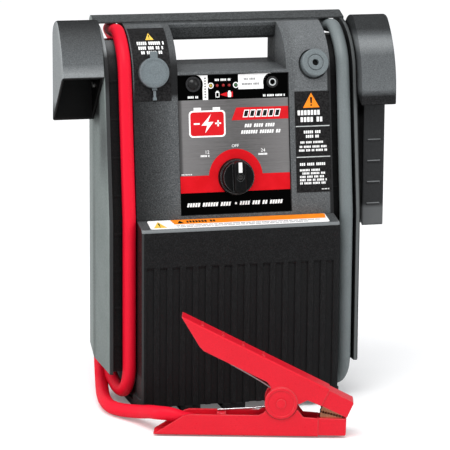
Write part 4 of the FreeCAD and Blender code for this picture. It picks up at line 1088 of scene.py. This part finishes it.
# Outlet cap: raised rim and a plug pictogram.
on_cap = arc_plane(-94.5, 397.0)
plug = [round_rect(-4.2, 4.2, -1.5, 3.0, 1.0), rect(-2.9, -1.7, 2.9, 5.4),
        rect(1.7, 2.9, 2.9, 5.4), rect(-0.6, 0.6, -5.6, -1.4),
        rect(-6.8, -6.0, -1.0, 1.0), rect(6.0, 6.8, -1.0, 1.0)]
plates("outlet_cap_rim", ring(0, 0, 14.6, 15.5, 56), on_cap, 6.0, 6.55, cap_rubber,
       "outlet_cap")
plates("outlet_cap_pictogram", plug, on_cap, 6.0, 6.5, cap_rubber,
       "outlet_cap")

# Mesh wires in the mouth of the buzzer over a black disc, which is painted shade at the bottom
# of the hole.
on_buzzer = arc_plane(100.0, 402.8)
wire_places, wire_half = (-2.0, 0.0, 2.0), 0.12
plates("buzzer_hole_shade_disc", [disc(0, 0, 3.85, 30)], on_buzzer, 1.99, 2.25, black_ink_and_shade)
plates("buzzer_mesh_wires",
       [rect(-3.0, 3.0, k - wire_half, k + wire_half) for k in wire_places]
       + [rect(k - wire_half, k + wire_half, -3.0, 3.0) for k in wire_places],
       on_buzzer, 2.2, 2.42, phenolic)

# Rings round the charging jack: a light grey ring painted as the highlight on its inner barrel,
# and a lip.
plates("charging_jack_highlight_ring", ring(48.5, 382.6, 3.1, 4.3, 36), on_panel, -0.71, -0.45,
       line_ink_and_highlight)
plates("charging_jack_lip", ring(48.5, 382.6, 5.2, 6.3, 36), on_panel, -0.71, -0.5,
       panel_plastic)


# ---------------------------------------------------------------- room
def light_path(tree):
    """Signals for camera rays and for glossy rays."""
    node = add_node(tree, "LightPath", {})
    return [Signal(tree, node.outputs[f"Is {ray} Ray"]) for ray in ("Camera", "Glossy")]


def floor_material():
    """White floor that glows to the camera, more so far back, and reflects as grey."""
    material = finish("studio_floor", (0.90, 0.90, 0.90), rough=0.6,
                      second=(0.888, 0.888, 0.888), mottle=1.5, specular=0.02)
    tree = material.node_tree
    shader = next(node for node in tree.nodes if node.type == "BSDF_PRINCIPLED")
    tint = Signal(tree, shader.inputs["Base Color"].links[0].from_socket)
    camera_ray, glossy_ray = light_path(tree)
    glow = axes_mm(object_coords(tree))[1].ramp(250.0, 2500.0, 0.13, 0.34)
    set_inputs(shader, {
        "Base Color": mix(glossy_ray, tint, (0.30, 0.30, 0.30)),
        "Emission Color": (1, 1, 1),
        "Emission Strength": camera_ray * glow})
    return material


bpy.ops.mesh.primitive_plane_add(size=60, location=(0, 0, -0.0004))
floor = bpy.context.object
floor.name = "studio_floor"
floor.data.materials.append(floor_material())


def add_world():
    """Even light, weaker in reflections and brighter where the camera sees it."""
    light_strength, reflected_strength, camera_extra = 0.78, 0.42, 0.30
    world = bpy.data.worlds.new("studio")
    bpy.context.scene.world = world
    world.use_nodes = True
    tree = world.node_tree
    tree.nodes.clear()
    camera_ray, glossy_ray = light_path(tree)
    strength = glossy_ray.ramp(0.0, 1.0, light_strength, reflected_strength)
    strength = camera_ray.math("MULTIPLY_ADD", camera_extra, strength)
    background = source(tree, "Background", 0, {
        "Color": (0.97, 0.98, 1.0), "Strength": strength})
    add_node(tree, "OutputWorld", {0: background})


def add_area_light(name, location, target, size, size_y, energy):
    light = bpy.data.lights.new(name, "AREA")
    light.energy = energy
    light.shape = "RECTANGLE"
    light.size = size
    light.size_y = size_y
    lamp = bpy.data.objects.new(name, light)
    bpy.context.scene.collection.objects.link(lamp)
    lamp.location = location
    lamp.rotation_mode = "QUATERNION"
    aim = Vector(target) - Vector(location)
    lamp.rotation_quaternion = aim.to_track_quat("-Z", "Y")


def add_camera():
    """Long lens from the front left, a little above, with a slight roll."""
    location = (-0.780555, -2.861158, 0.799215)
    turn, pitch, roll = math.radians(-15.3), math.radians(11.3), math.radians(0.43)
    data = bpy.data.cameras.new("camera")
    camera = bpy.data.objects.new("camera", data)
    bpy.context.scene.collection.objects.link(camera)
    back = Vector((math.sin(turn) * math.cos(pitch), -math.cos(turn) * math.cos(pitch),
                   math.sin(pitch)))
    level = Vector((math.cos(turn), math.sin(turn), 0))
    upright = back.cross(level)
    right = level * math.cos(roll) + upright * math.sin(roll)
    up = -level * math.sin(roll) + upright * math.cos(roll)
    rows = [tuple(row) for row in zip(right, up, back, location)]
    camera.matrix_world = Matrix((*rows, (0, 0, 0, 1)))
    data.lens = 202.64
    data.sensor_width = 36
    data.clip_start, data.clip_end = 0.1, 100
    bpy.context.scene.camera = camera


add_world()
add_area_light("key_overhead", (-0.5, -1.1, 2.3), (0, -0.05, 0.2),
               size=1.6, size_y=1.2, energy=38)
add_area_light("left_soft", (-2.0, -0.1, 0.9), (0, 0, 0.22),
               size=1.2, size_y=1.4, energy=16)
add_area_light("right_soft", (1.7, -1.6, 0.9), (0, 0, 0.2),
               size=0.9, size_y=1.2, energy=8)
add_camera()
bpy.context.scene.view_settings.view_transform = "Standard"
